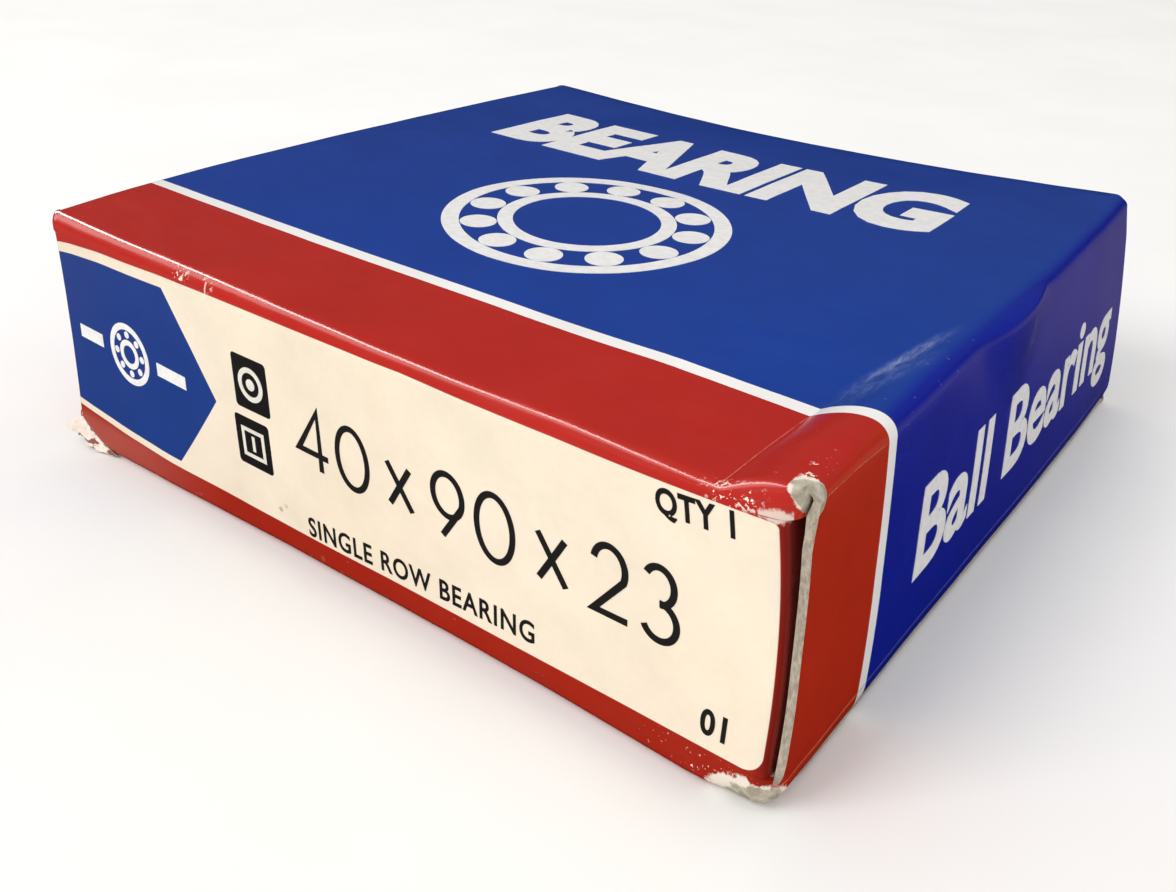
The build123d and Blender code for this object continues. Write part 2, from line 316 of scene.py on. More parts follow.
def board_common(g, x, y, z):
    """Wear shared by the printed faces. Returns (raw board mask, light ply mask, scuff mask, bump normal, two noises,
    position in mm).
    """
    P = g.vec(x, y, z)
    n1 = g.noise(P, 0.9, 4.0, 0.6)
    n2 = g.noise(P, 2.6, 3.0, 0.6)
    n3 = g.noise(P, 0.22, 2.0, 0.5)
    # the two corners where the print is worn through to the grey board
    eA = g.ellipsoid(x, y, z, (46.9, -44.9, 27.1), (1.45, 1.15, 1.6), n1, 0.7)
    eB = g.ellipsoid(x, y, z, (46.4, -46.4, 0.1), (4.2, 2.7, 2.45), n1, 0.6)
    eC = g.ellipsoid(x, y, z, (-46.3, -46.6, 0.6), (2.6, 1.6, 1.9), n1, 0.8)
    eD = g.ellipsoid(x, y, z, (46.9, 46.5, 26.4), (0.9, 1.3, 1.0), n1, 1.2)
    eE = g.ellipsoid(x, y, z, (-46.6, 46.5, 0.4), (1.6, 2.2, 1.6), n1, 1.2)
    eF = g.ellipsoid(x, y, z, (-46.7, 46.6, 26.8), (1.0, 1.6, 1.0), n1, 1.2)
    eG = g.ellipsoid(x, y, z, (46.6, 46.5, 0.3), (2.0, 2.4, 1.5), n1, 1.2)
    e = eA
    for k in (eB, eC, eD, eE, eF, eG):
        e = g.mn(e, k)
    raw = g.below(e, 1.0, 0.05)
    # the white ply shows on the inner side of the raw patches only
    lean = g.add(g.mul(g.sub(46.6, x), 0.07), g.mul(g.sub(n1, 0.5), 1.5))
    ply = g.below(g.sub(e, g.mn(g.mx(lean, -0.06), 0.30)), 1.07, 0.05)
    # small chips along the front top edge and over the swollen fold
    dE = g.m("SQRT", g.add(g.m("POWER", g.add(y, 46.3), 2.0), g.m("POWER", g.sub(z, 25.9), 2.0)))
    near = g.below(dE, 0.9, 0.5)
    spots = g.mx(g.below(g.ab(g.add(x, 21.6)), 1.1, 0.4), g.mx(g.below(g.ab(g.add(x, 17.6)), 1.0, 0.4), g.below(g.ab(g.sub(x, 41.6)), 2.2, 0.8)))
    chip = g.mul(g.mul(near, spots), g.above(g.add(n2, g.mul(g.sub(n1, 0.5), 0.6)), 0.615, 0.03))
    bev = g.ellipsoid(x, y, z, (46.2, -42.6, 27.0), (0.8, 3.4, 1.2), n2, 0.4)
    chip2 = g.mul(g.below(bev, 1.0, 0.3), g.above(g.add(n2, g.mul(g.sub(n1, 0.5), 0.7)), 0.645, 0.02))
    bot = g.mul(g.mul(g.below(g.ab(g.sub(x, 39.5)), 5.0, 1.0), g.below(g.ab(g.sub(z, 2.0)), 1.0, 0.3)), g.mul(g.below(y, -46.0), g.above(n2, 0.66, 0.02)))
    chips = g.mx(chip, g.mx(chip2, bot))
    # fine board texture, soft waviness of the faces and small dents
    h = g.add(g.mul(g.noise(P, 5.0, 4.0, 0.7), 0.006), g.mul(n3, 0.05))
    h = g.add(h, g.mul(g.noise(P, 0.065, 2.0, 0.5), 0.45))
    h = g.sub(h, g.mul(raw, g.add(0.03, g.mul(n2, 0.05))))
    normal = g.bump(h, 0.55, 0.001)
    return raw, ply, chips, normal, n3, n2, P


def finish_board(g, color, raw, ply, chips, normal, n3, n2, P, base_rough=0.17):
    c = g.mix(ply, color, RAW_LIGHT)
    c = g.mix(chips, c, (0.88, 0.80, 0.70))
    rawc = g.mix(g.ramp(g.noise(P, 0.9, 4.0, 0.55), 0.35, 0.65), (0.34, 0.30, 0.225), (0.58, 0.53, 0.43))
    c = g.mix(raw, c, rawc)
    # very slight unevenness of the ink
    tone = g.ramp(g.noise(P, 0.11, 3.0, 0.6), 0.25, 0.75, 0.93, 1.05, "LINEAR")
    n = g.t.nodes.new("ShaderNodeMix"); n.data_type = "RGBA"; n.blend_type = "MULTIPLY"
    n.inputs[0].default_value = 1.0
    g.put(c, n.inputs[6])
    cc = g.t.nodes.new("ShaderNodeCombineColor")
    for i in range(3):
        g.put(tone, cc.inputs[i])
    g.put(cc.outputs[0], n.inputs[7])
    g.set("Base Color", n.outputs[2])
    worn = g.mx(raw, g.mx(ply, chips))
    smear = g.ramp(g.noise(g.scale_vec(P, (0.5, 1.4, 1.0)), 0.35, 5.0, 0.65), 0.35, 0.75, -0.02, 0.07)
    r = g.add(base_rough, g.add(smear, g.mul(g.noise(P, 3.0, 2.0, 0.5), 0.05)))
    r = g.mixf(worn, r, 0.92)
    g.set("Roughness", r)
    g.set("Normal", normal)
    g.bsdf.inputs["Specular IOR Level"].default_value = 0.5
    g.bsdf.inputs["IOR"].default_value = 1.5
    g.bsdf.inputs["Coat Weight"].default_value = 0.25
    g.bsdf.inputs["Coat Roughness"].default_value = 0.12
    return g.mat


def mat_stripe():
    """Top, bottom, back and end flaps: blue, with a red band and white line along the label side."""
    g = Nodes("carton_print")
    x, y, z = g.rest()
    raw, ply, chips, normal, n3, n2, P = board_common(g, x, y, z)
    edge = g.mul(g.sub(g.noise(P, 4.0, 2.0), 0.5), 0.06)
    d = g.add(g.sub(y, LINE_Y), edge)
    red = g.below(d, -LINE_W)
    line = g.below(g.ab(d), LINE_W)
    d1, d2 = g.lines()
    # painted shade: where the board turns down into the end flaps the print colours switch to deeper, more saturated
    # copies of the same inks, standing in for the dimmer light there
    side = g.mul(g.above(g.ab(x), 45.9, 0.9), g.below(z, 26.9, 0.35))
    blue = g.mix(side, BLUE, BLUE_SIDE_PAINTED_SHADE)
    redc = g.mix(side, RED, RED_SIDE_PAINTED_SHADE)
    c = g.mix(red, blue, redc)
    c = g.mix(line, c, WHITE)
    broken = g.ramp(g.noise(P, 1.2, 3.0, 0.6), 0.35, 0.6, 0.12, 0.60)
    # painted highlight: a thin light line along the top panel's crease near the label side, broken up by noise
    crease_highlight = g.mul(g.below(g.ab(d1), 0.045, 0.05), g.below(y, -33.0, 1.0))
    c = g.mix(g.mul(crease_highlight, broken), c, (0.86, 0.34, 0.28))
    # painted highlight: a light glare streak along the fold where the crease runs out, broken into streaks by fine
    # scratches, with a fainter painted sheen beside it
    fold_glare = g.mul(g.below(g.ab(g.add(y, 18.5)), 4.5, 5.5), g.below(g.ab(g.sub(d1, 0.15)), 0.50, 0.55))
    fold_sheen = g.mul(g.below(g.ab(g.add(y, 24.5)), 6.0, 4.5), g.below(g.ab(g.sub(d1, 1.2)), 1.2, 0.7))
    fold_glare = g.mul(fold_glare, g.above(z, 26.0))
    streak = g.ramp(g.noise(g.scale_vec(P, (2.2, 0.5, 1.0)), 1.0, 4.0, 0.7), 0.35, 0.7, 0.15, 1.0)
    c = g.mix(g.mul(fold_sheen, g.mul(g.above(z, 26.0), g.mul(streak, 0.22))), c, (0.30, 0.42, 0.72))
    c = g.mix(g.mul(fold_glare, g.mul(streak, 0.60)), c, (0.50, 0.60, 0.85))
    # painted highlights: light lines along the crease between the swollen fold and the flap, and along the crease above
    # the flap's lower fold
    up = g.mul(g.below(g.ab(d2), 0.035, 0.04), g.below(y, -32.5, 0.5))
    c = g.mix(g.mul(up, broken), c, (0.78, 0.30, 0.14))
    low = g.mul(g.below(g.ab(g.sub(z, 2.72)), 0.07, 0.06), g.above(g.ab(x), 46.2, 0.1))
    c = g.mix(g.mul(low, g.ramp(n2, 0.3, 0.6, 0.35, 0.75)), c, g.mix(red, (0.20, 0.22, 0.50), (0.85, 0.30, 0.20)))
    # short scratches on the fold
    sc = g.noise(g.scale_vec(P, (0.8, 2.4, 1.0)), 1.5, 2.0, 0.5)
    sc = g.mul(g.above(sc, 0.748, 0.012), g.mul(g.mul(g.above(x, 43.5, 0.5), g.above(z, 25.4)), g.below(y, -4.0, 8.0)))
    c = g.mix(g.mul(sc, 0.45), c, (0.45, 0.55, 0.85))
    return finish_board(g, c, raw, ply, chips, normal, n3, n2, P)


def mat_label():
    """The label face: red surround, cream label, blue arrow and black badges."""
    g = Nodes("carton_label")
    x, y, z = g.rest()
    raw, ply, chips, normal, n3, n2, P = board_common(g, x, y, z)
    zl = g.lines()[1]
    # cream label with rounded right-hand corners, open at its left end
    r = 1.7
    x1, z0, z1 = 45.05, 3.35, 25.35
    dx = g.sub(x, x1 - r)
    # the top right-hand corner of the print ends square at the fold
    r = 0.5
    dxt, dztt = g.sub(x, x1 - r), g.sub(zl, z1 - r)
    sharp = g.add(g.m("SQRT", g.add(g.m("POWER", g.mx(dxt, 0.0), 2.0), g.m("POWER", g.mx(dztt, 0.0), 2.0))), g.mn(g.mx(dxt, dztt), 0.0))
    sharp = g.below(sharp, r, 0.04)
    r = 1.7
    dzt = g.sub(zl, z1 - r)
    dzb = g.sub(z0 + r, zl)
    dz = g.mx(dzt, dzb)
    dist = g.add(
        g.m("SQRT", g.add(g.m("POWER", g.mx(dx, 0.0), 2.0), g.m("POWER", g.mx(dz, 0.0), 2.0))),
        g.mn(g.mx(dx, dz), 0.0))
    label = g.mixf(g.above(zl, 14.0, 1.0), g.below(dist, r, 0.04), sharp)
    # blue arrow
    ztop, zbot, ztip = 24.1, 4.22, 13.9
    tip = -18.1
    up = g.sub(x, g.ramp(zl, ztip, ztop, tip, -25.1, "LINEAR"))
    dn = g.sub(x, g.ramp(zl, zbot, ztip, -25.9, tip, "LINEAR"))
    right = g.mixf(g.above(zl, ztip, 0.001), dn, up)
    arrow = g.mul(g.below(right, 0.0, 0.04), g.mul(g.below(zl, ztop, 0.04), g.above(zl, zbot, 0.04)))
    # black badges
    def rect(xa, xb, za, zb, rr=0.45):
        qx = g.sub(g.ab(g.sub(x, (xa + xb) / 2)), (xb - xa) / 2 - rr)
        qz = g.sub(g.ab(g.sub(z, (za + zb) / 2)), (zb - za) / 2 - rr)
        q = g.add(g.m("SQRT", g.add(g.m("POWER", g.mx(qx, 0.0), 2.0), g.m("POWER", g.mx(qz, 0.0), 2.0))), g.mn(g.mx(qx, qz), 0.0))
        return g.below(q, rr, 0.03)
    badge = g.mx(rect(-14.7, -9.5, 14.8, 20.6), rect(-15.3, -10.1, 8.25, 13.8))
    stain = g.ramp(g.noise(P, 0.07, 3.0, 0.6), 0.35, 0.8, 0.0, 0.35)
    cream = g.mix(stain, CREAM, (0.90, 0.76, 0.56))
    mottled = g.ramp(g.noise(P, 1.1, 4.0, 0.7), 0.35, 0.7, 0.0, 0.10)
    cream = g.mix(mottled, cream, (0.72, 0.62, 0.48))
    # painted light: the label side's red is a darker copy of the top's red, brightening towards the top fold as a
    # painted sheen below the fold's highlight
    redc = g.mix(g.above(z, 20.0, 3.0), RED_FRONT_PAINTED_SHADE, RED)
    # painted shade: the red strip at the right-hand end of the label side is darkened where it turns into the gap
    # beside the end flap
    redc = g.mix(g.mul(g.mul(g.above(x, 44.9, 1.2), g.below(z, 25.0, 0.8)), g.above(z, 3.0, 1.5)), redc, (0.17, 0.006, 0.003))
    c = g.mix(label, redc, cream)
    c = g.mix(g.mul(arrow, label), c, (0.012, 0.046, 0.245))
    ink_gap = g.ramp(g.noise(P, 6.0, 2.0, 0.5), 0.72, 0.80, 0.0, 0.5)
    c = g.mix(g.mul(badge, g.sub(1.0, ink_gap)), c, BLACK)
    # brown specks low on the label's left
    spk = g.voronoi(P, 0.42)
    spm = g.mul(g.below(spk, 0.13, 0.06), g.mul(g.mul(g.below(x, 4.0, 3.0), g.above(x, -24.0, 2.0)), g.mul(g.below(z, 5.4, 0.8), g.above(n2, 0.42, 0.05))))
    c = g.mix(g.mul(spm, 0.6), c, (0.30, 0.13, 0.05))
    # light wear in the red band under the label
    bw = g.mul(g.mul(g.below(z, 2.6, 0.4), g.above(g.noise(g.scale_vec(P, (0.5, 1, 2.0)), 1.1, 4.0, 0.7), 0.70, 0.02)), 0.45)
    c = g.mix(bw, c, (0.80, 0.45, 0.35))
    fade = g.mul(g.mul(g.below(z, 4.0, 1.0), g.below(x, -28.0, 12.0)), 0.22)
    c = g.mix(g.mul(fade, g.sub(1.0, label)), c, (0.75, 0.30, 0.25))
    # painted shade: a faint darker line for a vertical crease of the board near the right-hand end
    crease_shade = g.mul(g.below(g.ab(g.sub(x, 42.1)), 0.25, 0.9), 0.10)
    c = g.mix(g.mul(crease_shade, label), c, (0.80, 0.66, 0.46))
    spot = g.ellipsoid(x, y, z, (45.0, -46.5, 25.2), (1.35, 1.4, 0.55), n2, 1.4)
    c = g.mix(g.mul(g.below(spot, 1.0, 0.25), 0.75), c, (0.88, 0.78, 0.68))
    # board shows through in one thin tear from the top fold down onto the label
    tear = g.mul(g.below(g.ab(g.add(g.add(x, 17.4), g.mul(g.sub(z, 24.5), 0.15))), 0.10, 0.10), g.above(z, 23.4, 0.8))
    c = g.mix(g.mul(tear, 0.7), c, (0.93, 0.86, 0.78))
    return finish_board(g, c, raw, ply, chips, normal, n3, n2, P)


def mat_dust():
    """Dust flaps: the label's red runs round the fold, and the rest is unprinted board."""
    g = Nodes("carton_dust_print")
    x, y, z = g.rest()
    raw, ply, chips, normal, n3, n2, P = board_common(g, x, y, z)
    d = g.add(g.ab(y), g.mul(g.sub(g.noise(P, 1.5, 3.0), 0.5), 0.5))
    printed = g.above(d, 41.5, 0.08)
    front = g.below(y, 0.0)
    # painted shade: round the front fold the label's red is a darker copy, for the gap beside the end flap; the rear
    # flaps take the end faces' deeper copy of the blue
    ink = g.mix(front, BLUE_SIDE_PAINTED_SHADE, (0.24, 0.010, 0.006))
    c = g.mix(printed, (0.62, 0.58, 0.50), ink)
    return finish_board(g, c, raw, ply, chips, normal, n3, n2, P, 0.35)


def mat_inside():
    """Unprinted inner face of the board."""
    g = Nodes("board_inside")
    x, y, z = g.rest()
    P = g.vec(x, y, z)
    f = g.noise(g.scale_vec(P, (1.0, 0.3, 1.0)), 2.5, 5.0, 0.7)
    c = g.mix(g.ramp(f, 0.3, 0.7), (0.40, 0.365, 0.30), (0.60, 0.56, 0.48))
    spk = g.voronoi(P, 1.3)
    c = g.mix(g.mul(g.below(spk, 0.09, 0.03), 0.5), c, (0.18, 0.14, 0.10))
    g.set("Base Color", c)
    g.set("Roughness", g.ramp(f, 0.2, 0.8, 0.85, 0.97))
    g.set("Normal", g.bump(g.add(g.mul(f, 0.05), g.mul(g.noise(P, 7.0, 4.0), 0.02)), 0.6, 0.001))
    return g.mat


def mat_edge():
    """Cut edge of the board: grey core with lighter outer plies and fibres."""
    g = Nodes("board_cut_edge")
    x, y, z = g.rest()
    P = g.vec(x, y, z)
    f = g.noise(g.scale_vec(P, (1.0, 1.0, 0.35)), 4.0, 5.0, 0.75)
    c = g.mix(g.ramp(f, 0.3, 0.72), (0.27, 0.225, 0.17), (0.52, 0.46, 0.37))
    g.set("Base Color", c)
    g.set("Roughness", g.ramp(f, 0.2, 0.8, 0.88, 0.98))
    g.set("Normal", g.bump(f, 0.8, 0.0001))
    return g.mat


def mat_flake():
    """Torn white facing of the board, with patches of the brown core still on it."""
    g = Nodes("board_torn_facing")
    x, y, z = g.rest()
    P = g.vec(x, y, z)
    f = g.noise(P, 1.6, 4.0, 0.65)
    n = g.noise(g.scale_vec(P, (0.7, 1.0, 1.3)), 0.75, 3.0, 0.5)
    c = g.mix(g.ramp(f, 0.3, 0.7), (0.80, 0.66, 0.56), (0.93, 0.85, 0.77))
    c = g.mix(g.above(n, 0.565, 0.03), c, (0.27, 0.10, 0.075))
    g.set("Base Color", c)
    g.set("Roughness", g.ramp(f, 0.2, 0.8, 0.75, 0.95))
    g.set("Normal", g.bump(g.add(f, g.mul(n, 0.8)), 0.7, 0.0002))
    return g.mat


def mat_ink(name, color, rough=0.3):
    g = Nodes(name)
    P = g.objco()
    f = g.noise(P, 1.1, 4.0, 0.6)
    wear = g.above(g.noise(P, 2.4, 5.0, 0.75), 0.665, 0.03)
    dark = tuple(0.86 * v for v in color)
    c = g.mix(g.ramp(f, 0.3, 0.7), color, dark)
    c = g.mix(g.mul(wear, 0.35), c, tuple(0.55 * v + 0.05 for v in color))
    g.set("Base Color", c)
    g.set("Roughness", g.ramp(f, 0.3, 0.7, rough, rough + 0.12))
    g.set("Normal", g.bump(g.noise(P, 4.0, 3.0), 0.25, 0.00005))
    g.bsdf.inputs["Coat Weight"].default_value = 0.2
    g.bsdf.inputs["Coat Roughness"].default_value = 0.15
    return g.mat


M_STRIPE, M_LABEL, M_DUST = mat_stripe(), mat_label(), mat_dust()
M_IN, M_EDGE = mat_inside(), mat_edge()
M_WHITE = mat_ink("ink_white", (0.93, 0.93, 0.93))
M_BLACK = mat_ink("ink_black", (0.014, 0.013, 0.013), 0.4)


# ------------------------------------------------------------------ board pieces
def wave(P, seed, length):
    """Smooth noise in -1..1 with features about `length` mm across, the same for every piece."""
    r = np.random.default_rng(seed)
    out = np.zeros(len(P))
    for k in range(9):
        d = r.normal(size=3)
        d /= np.linalg.norm(d)
        f = 2 * math.pi / length * r.uniform(0.6, 1.7)
        out += np.sin(P @ d * f + r.uniform(0, 6.28)) / 9 ** 0.5
    return out / 1.6


CORNERS = [((46.9, -45.4, 26.3), (2.4, 2.2, 2.2), 0.14), ((45.9, -46.4, 0.5), (4.6, 2.8, 2.8), 0.10),
           ((-45.8, -46.5, 0.4), (3.6, 3.0, 1.8), 0.22), ((46.5, 46.4, 26.2), (1.6, 2.2, 1.8), 0.15)]


def worn(P):
    """warp, plus slight waviness of the faces and a crumbled surface at the worn corners."""
    P = np.asarray(P, float)
    shape = P.shape
    P = P.reshape(-1, 3)
    out = warp(P)
    for ax in range(3):
        out[:, ax] += 0.055 * wave(P, 11 + ax, 26.0) + 0.018 * wave(P, 31 + ax, 8.0)
    for c, r, a in CORNERS:
        e = np.sqrt((((P - np.array(c)) / np.array(r)) ** 2).sum(1))
        k = a * (1 - smooth01((e - 0.35) / 0.75))
        for ax in range(3):
            out[:, ax] += k * 0.8 * wave(P, 51 + ax, 1.9)
    # the end flaps can't be pressed in further than the bearing inside
    y, z = P[:, 1], P[:, 2]
    edge = np.clip((np.abs(P[:, 0]) - 44.4) / 1.6, 0, 1)
    least = -0.38 - 0.0125 * y * y - 2.0 * smooth01((z - 26.1) / 0.8)
    sx = np.sign(P[:, 0])
    move = (out[:, 0] - P[:, 0]) * sx
    soft = 0.12
    held = 0.5 * (move + least + np.sqrt((move - least) ** 2 + soft ** 2))
    out[:, 0] = np.where(np.abs(y) < 18, P[:, 0] + sx * (move + (held - move) * edge), out[:, 0])
    hi = out[:, 2] - 27.3
    out[:, 2] = np.where(hi > 0, 27.3 + 0.45 * np.tanh(np.maximum(hi, 0) / 0.45), out[:, 2])
    out[:, 2] = np.maximum(out[:, 2], 0.0)
    return out.reshape(shape)


def rounded(P):
    """Square carton's points with the bottom right-hand front corner worn to a ball."""
    P = np.array(P, float)
    flat = P.reshape(-1, 3)
    R = 2.2
    c = np.array([46.6 - R, -46.5 + R, R])
    d = flat - c
    d[:, 0] = np.maximum(d[:, 0], 0)
    d[:, 1] = np.minimum(d[:, 1], 0)
    d[:, 2] = np.minimum(d[:, 2], 0)
    n = np.linalg.norm(d, axis=1)
    k = smooth01((4.4 - flat[:, 2]) / 1.8) * smooth01((flat[:, 0] - 39.0) / 5.0) * smooth01((-39.5 - flat[:, 1]) / 4.5)
    s = np.where(n > R, R / np.maximum(n, 1e-9), 1.0)
    flat += d * (s - 1)[:, None] * k[:, None]
    return flat.reshape(P.shape)


def label_z(x, z):
    """Height on the printed label. The print doesn't run quite true to the folds."""
    lo = np.interp(x, [-46, -43, -36, -28, -10, 20, 45], [5.0, 4.6, 3.9, 3.35, 3.1, 3.2, 3.5])
    hi = np.interp(x, [-46, -43, -37, -25, -9, 9, 26.6, 39, 45], [23.8, 24.35, 24.95, 25.4, 25.7, 26.0, 25.7, 25.05, 24.7])
    return 3.35 + (z - lo) / (hi - lo) * 22.0


class Board:
    """A sheet of board: an outer face, an inner face one thickness inside it, and cut edges."""

    def __init__(self, name, mats):
        self.name, self.mats = name, mats
        self.P, self.N, self.L, self.key, self.quads = [], [], [], {}, []

    def vid(self, p, n, l):
        k = tuple(np.round(p, 3))
        if k not in self.key:
            self.key[k] = len(self.P)
            self.P.append(p)
            self.N.append(n)
            self.L.append(l)
        return self.key[k]

    def patch(self, P, N, mat, lines=None):
        """P and N are (rows, columns, 3): points of the outer face and the way inwards. lines is (rows, columns, 2)."""
        R, C = P.shape[:2]
        if lines is None:
            lines = np.full((R, C, 2), 40.0)
            lines[..., 1] = label_z(P[..., 0], P[..., 2])
        ids = [[self.vid(P[i, j], N[i, j], lines[i, j]) for j in range(C)] for i in range(R)]
        for i in range(R - 1):
            for j in range(C - 1):
                q = [ids[i][j], ids[i][j + 1], ids[i + 1][j + 1], ids[i + 1][j]]
                if len(set(q)) < 4:
                    q = list(dict.fromkeys(q))
                    if len(q) < 3:
                        continue
                n = np.cross(self.P[q[2]] - self.P[q[0]], self.P[q[-1]] - self.P[q[1]])
                if n @ N[i, j] > 0:
                    q = q[::-1]
                self.quads.append((q, mat(P[i:i + 2, j:j + 2].reshape(-1, 3).mean(0))))

    def build(self, open_edge=None, thick=T, swell=None):
        P, N, L = np.array(self.P), np.array(self.N), np.array(self.L)
        n = len(P)
        t = np.full(len(P), thick) if swell is None else thick + swell(P)
        allP = np.vstack([P, P + N * t[:, None]])
        allL = np.vstack([L, L])
        faces, mi = [], []
        edges = {}
        for q, m in self.quads:
            faces.append(q)
            mi.append(m)
            faces.append([v + n for v in q[::-1]])
            mi.append(self.mats.index(M_IN))
            for a, b in zip(q, q[1:] + q[:1]):
                edges.setdefault(frozenset((a, b)), []).append((a, b))
        for e in edges.values():
            if len(e) == 1:
                a, b = e[0]
                if open_edge is not None and open_edge((P[a] + P[b]) / 2):
                    continue
                faces.append([b, a, a + n, b + n])
                mi.append(self.mats.index(M_EDGE))
        me = bpy.data.meshes.new(self.name)
        me.from_pydata((worn(rounded(allP)) * MM).tolist(), [], faces)
        for m in self.mats:
            me.materials.append(m)
        me.polygons.foreach_set("material_index", mi)
        for name, data in (("ra", allP[:, (0, 1)]), ("rb", allP[:, (2, 2)]), ("rc", allL)):
            uv = me.uv_layers.new(name=name)
            li = np.zeros(len(me.loops), int)
            me.loops.foreach_get("vertex_index", li)
            uv.data.foreach_set("uv", (data[li] / 100.0).astype(np.float32).ravel())
        me.polygons.foreach_set("use_smooth", [True] * len(me.polygons))
        me.update()
        me.set_sharp_from_angle(angle=math.radians(38))
        ob = bpy.data.objects.new(self.name, me)
        bpy.context.scene.collection.objects.link(ob)
        return ob


def lin(a, b, n):
    return [a + (b - a) * i / n for i in range(n + 1)]


# --- sleeve: back, bottom, front and top panels and the glue flap, all one board
rows = []      # y, z, inward y, inward z, left x, right x, kind


def arc(cy, cz, r, a0, a1, n):
    return [(cy + r * math.cos(math.radians(a)), cz + r * math.sin(math.radians(a)), -math.cos(math.radians(a)), -math.sin(math.radians(a))) for a in lin(a0, a1, n)]


def side_x(z):
    """How far the front and back panels reach before the dust flaps' folds."""
    return 46.5 if z < LOW_CUT or z > 25.05 else 44.3


LOW_CUT = 3.35
XL, XR = -44.0, float(crease_x(-45.0))
back = [(46.5, z, -1, 0) for z in (26.3, 25.7, 25.1, 25.0, *lin(24.0, 4.4, 12), LOW_CUT + 0.05, LOW_CUT - 0.05, 2.6, 1.8, 1.0)]
path = [(p, side_x(p[1])) for p in back]
path += [(p, 46.5) for i, p in enumerate(arc(45.5, 1.0, 1.0, 0, -90, 6)) if i]
path += [((y, 0.0, 0, 1), 46.5 - 0.3 * min(1.0, max(0.0, (45.5 - abs(y)) / 2.5))) for y in lin(45.5, -45.5, 52)[1:]]
path += [(p, 46.5) for i, p in enumerate(arc(-45.5, 1.0, 1.0, 270, 180, 8)) if i]
path += [((-46.5, z, 1, 0), side_x(z)) for z in (1.4, 1.8, 2.2, 2.6, 3.0, LOW_CUT - 0.04, LOW_CUT + 0.04, *lin(4.2, 24.2, 15), 24.7, 25.01, 25.09, 25.5)]
front_arc = arc(-45.0, 25.5, 1.5, 180, 90, 14)
path += [(p, 46.5 + 0.45 * i / 14) for i, p in enumerate(front_arc) if i]
NM, NE = 46, 20


def columns(left, right, x0=XL, x1=XR):
    def ends(side, inner, n):
        if side < 44.6:
            return lin(inner, side, n)[1:]
        a = math.asin(min(1.0, (side - 44.6) / 2.0)) if side <= 46.55 else None
        if a is None:
            return lin(inner, 44.6, n // 2)[1:] + lin(44.6, side, n - n // 2)[1:]
        return lin(inner, 44.6, n // 2)[1:] + [44.6 + 2.0 * math.sin(a * k / (n - n // 2)) for k in range(1, n - n // 2 + 1)]
    return np.array([-v for v in ends(left, -x0, 10)][::-1] + lin(x0, x1, NM) + ends(right, x1, NE))


def sleeve_rows(path, x0=XL, x1=XR, bevel=False):
    P, N = [], []
    for (y, z, ny, nz), side in path:
        xs = columns(side, side, x0, x1)
        ys, zs = np.full(xs.shape, float(y)), np.full(xs.shape, float(z))
        dx = np.clip(np.abs(xs) - 44.6, 0, 1.96)
        inset = (2.0 - np.sqrt(4.0 - dx ** 2)) * abs(ny)
        ys = ys + inset * np.sign(ny)
        if bevel and nz < -1e-6:
            yb = -45.0 if y < 0 else 45.0
            low = 25.5 if y < 0 else 26.0
            share = np.clip((z - low) / (27.0 - low), 0, 1)
            zs = low + (top_z(xs, yb) - low) * share
            zl = np.clip((np.abs(xs) - 45.25) / 1.5, 0, 1)
            zs = zs - np.where(xs < 0, 1.2 * (1 - np.sqrt(1 - zl ** 2)), 0) * share
        P.append(np.stack([xs, ys, zs], -1))
        N.append(np.tile([0.0, ny, nz], (len(xs), 1)))
    return np.array(P), np.array(N)


sleeve = Board("carton_sleeve", [M_STRIPE, M_LABEL, M_IN, M_EDGE])
is_label = lambda c: 1 if c[1] < -45.9 and 0.5 < c[2] < 26.6 else 0
P1, N1 = sleeve_rows(path, bevel=True)
L1 = np.full((*P1.shape[:2], 2), 40.0)
L1[..., 0] = np.where(P1[..., 2] > 25.6, P1[..., 0] - XR, 40.0)
L1[..., 1] = label_z(P1[..., 0], P1[..., 2])
sleeve.patch(P1, N1, is_label, L1)



def seam_x(y):
    """Where the top panel ends and the end flap's fold begins: at the crease, or just before the fold where there is none."""
    return float(crease_x(y)) - 0.5 * float(smooth01((y + 14.0) / 8.0))


TOPY = lin(-45.0, -10.0, 30) + lin(-10.0, 45.0, 28)[1:]
P2 = np.array([[(x, y, float(top_z(x, y))) for x in lin(XL, seam_x(y), NM)] for y in TOPY])
L2 = np.array([[(x - float(crease_x(y)), 40.0) for x in lin(XL, seam_x(y), NM)] for y in TOPY])
sleeve.patch(P2, np.tile([0.0, 0.0, -1.0], (*P2.shape[:2], 1)), lambda c: 0, L2)
xr_back = seam_x(45.0)
rear_arc = arc(45.0, 26.0, 1.0, 90, 0, 6)
tail = [(p, 46.5) for p in rear_arc]
P3, N3 = sleeve_rows(tail, XL, xr_back, bevel=True)
sleeve.patch(P3, N3, lambda c: 0)
glue = [((46.0, z, -1, 0), 43.0 - 4.0 * i / 9) for i, z in enumerate(lin(26.0, 12.5, 9))]
GP, GN = [], []
for (y, z, ny, nz), side in glue:
    xs = np.array(lin(-side, side, NM))
    GP.append(np.stack([xs, np.full(xs.shape, y), np.full(xs.shape, z)], -1))
    GN.append(np.tile([0.0, ny, nz], (len(xs), 1)))
sleeve.patch(np.array(GP), np.array(GN), lambda c: 0)
seam = lambda c: (c[2] > 25.8 and abs(c[0] - seam_x(c[1])) < 0.06 and -44.99 < c[1] < 44.99) or (abs(c[0] + 44.0) < 1e-3 and c[2] > 26.99)
carton_sleeve = sleeve.build(seam)
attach(carton_sleeve, "carton")
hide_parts("top_panel", "bottom_panel", "front_panel", "back_panel", "glue_flap")


# --- end flaps
NB = 22


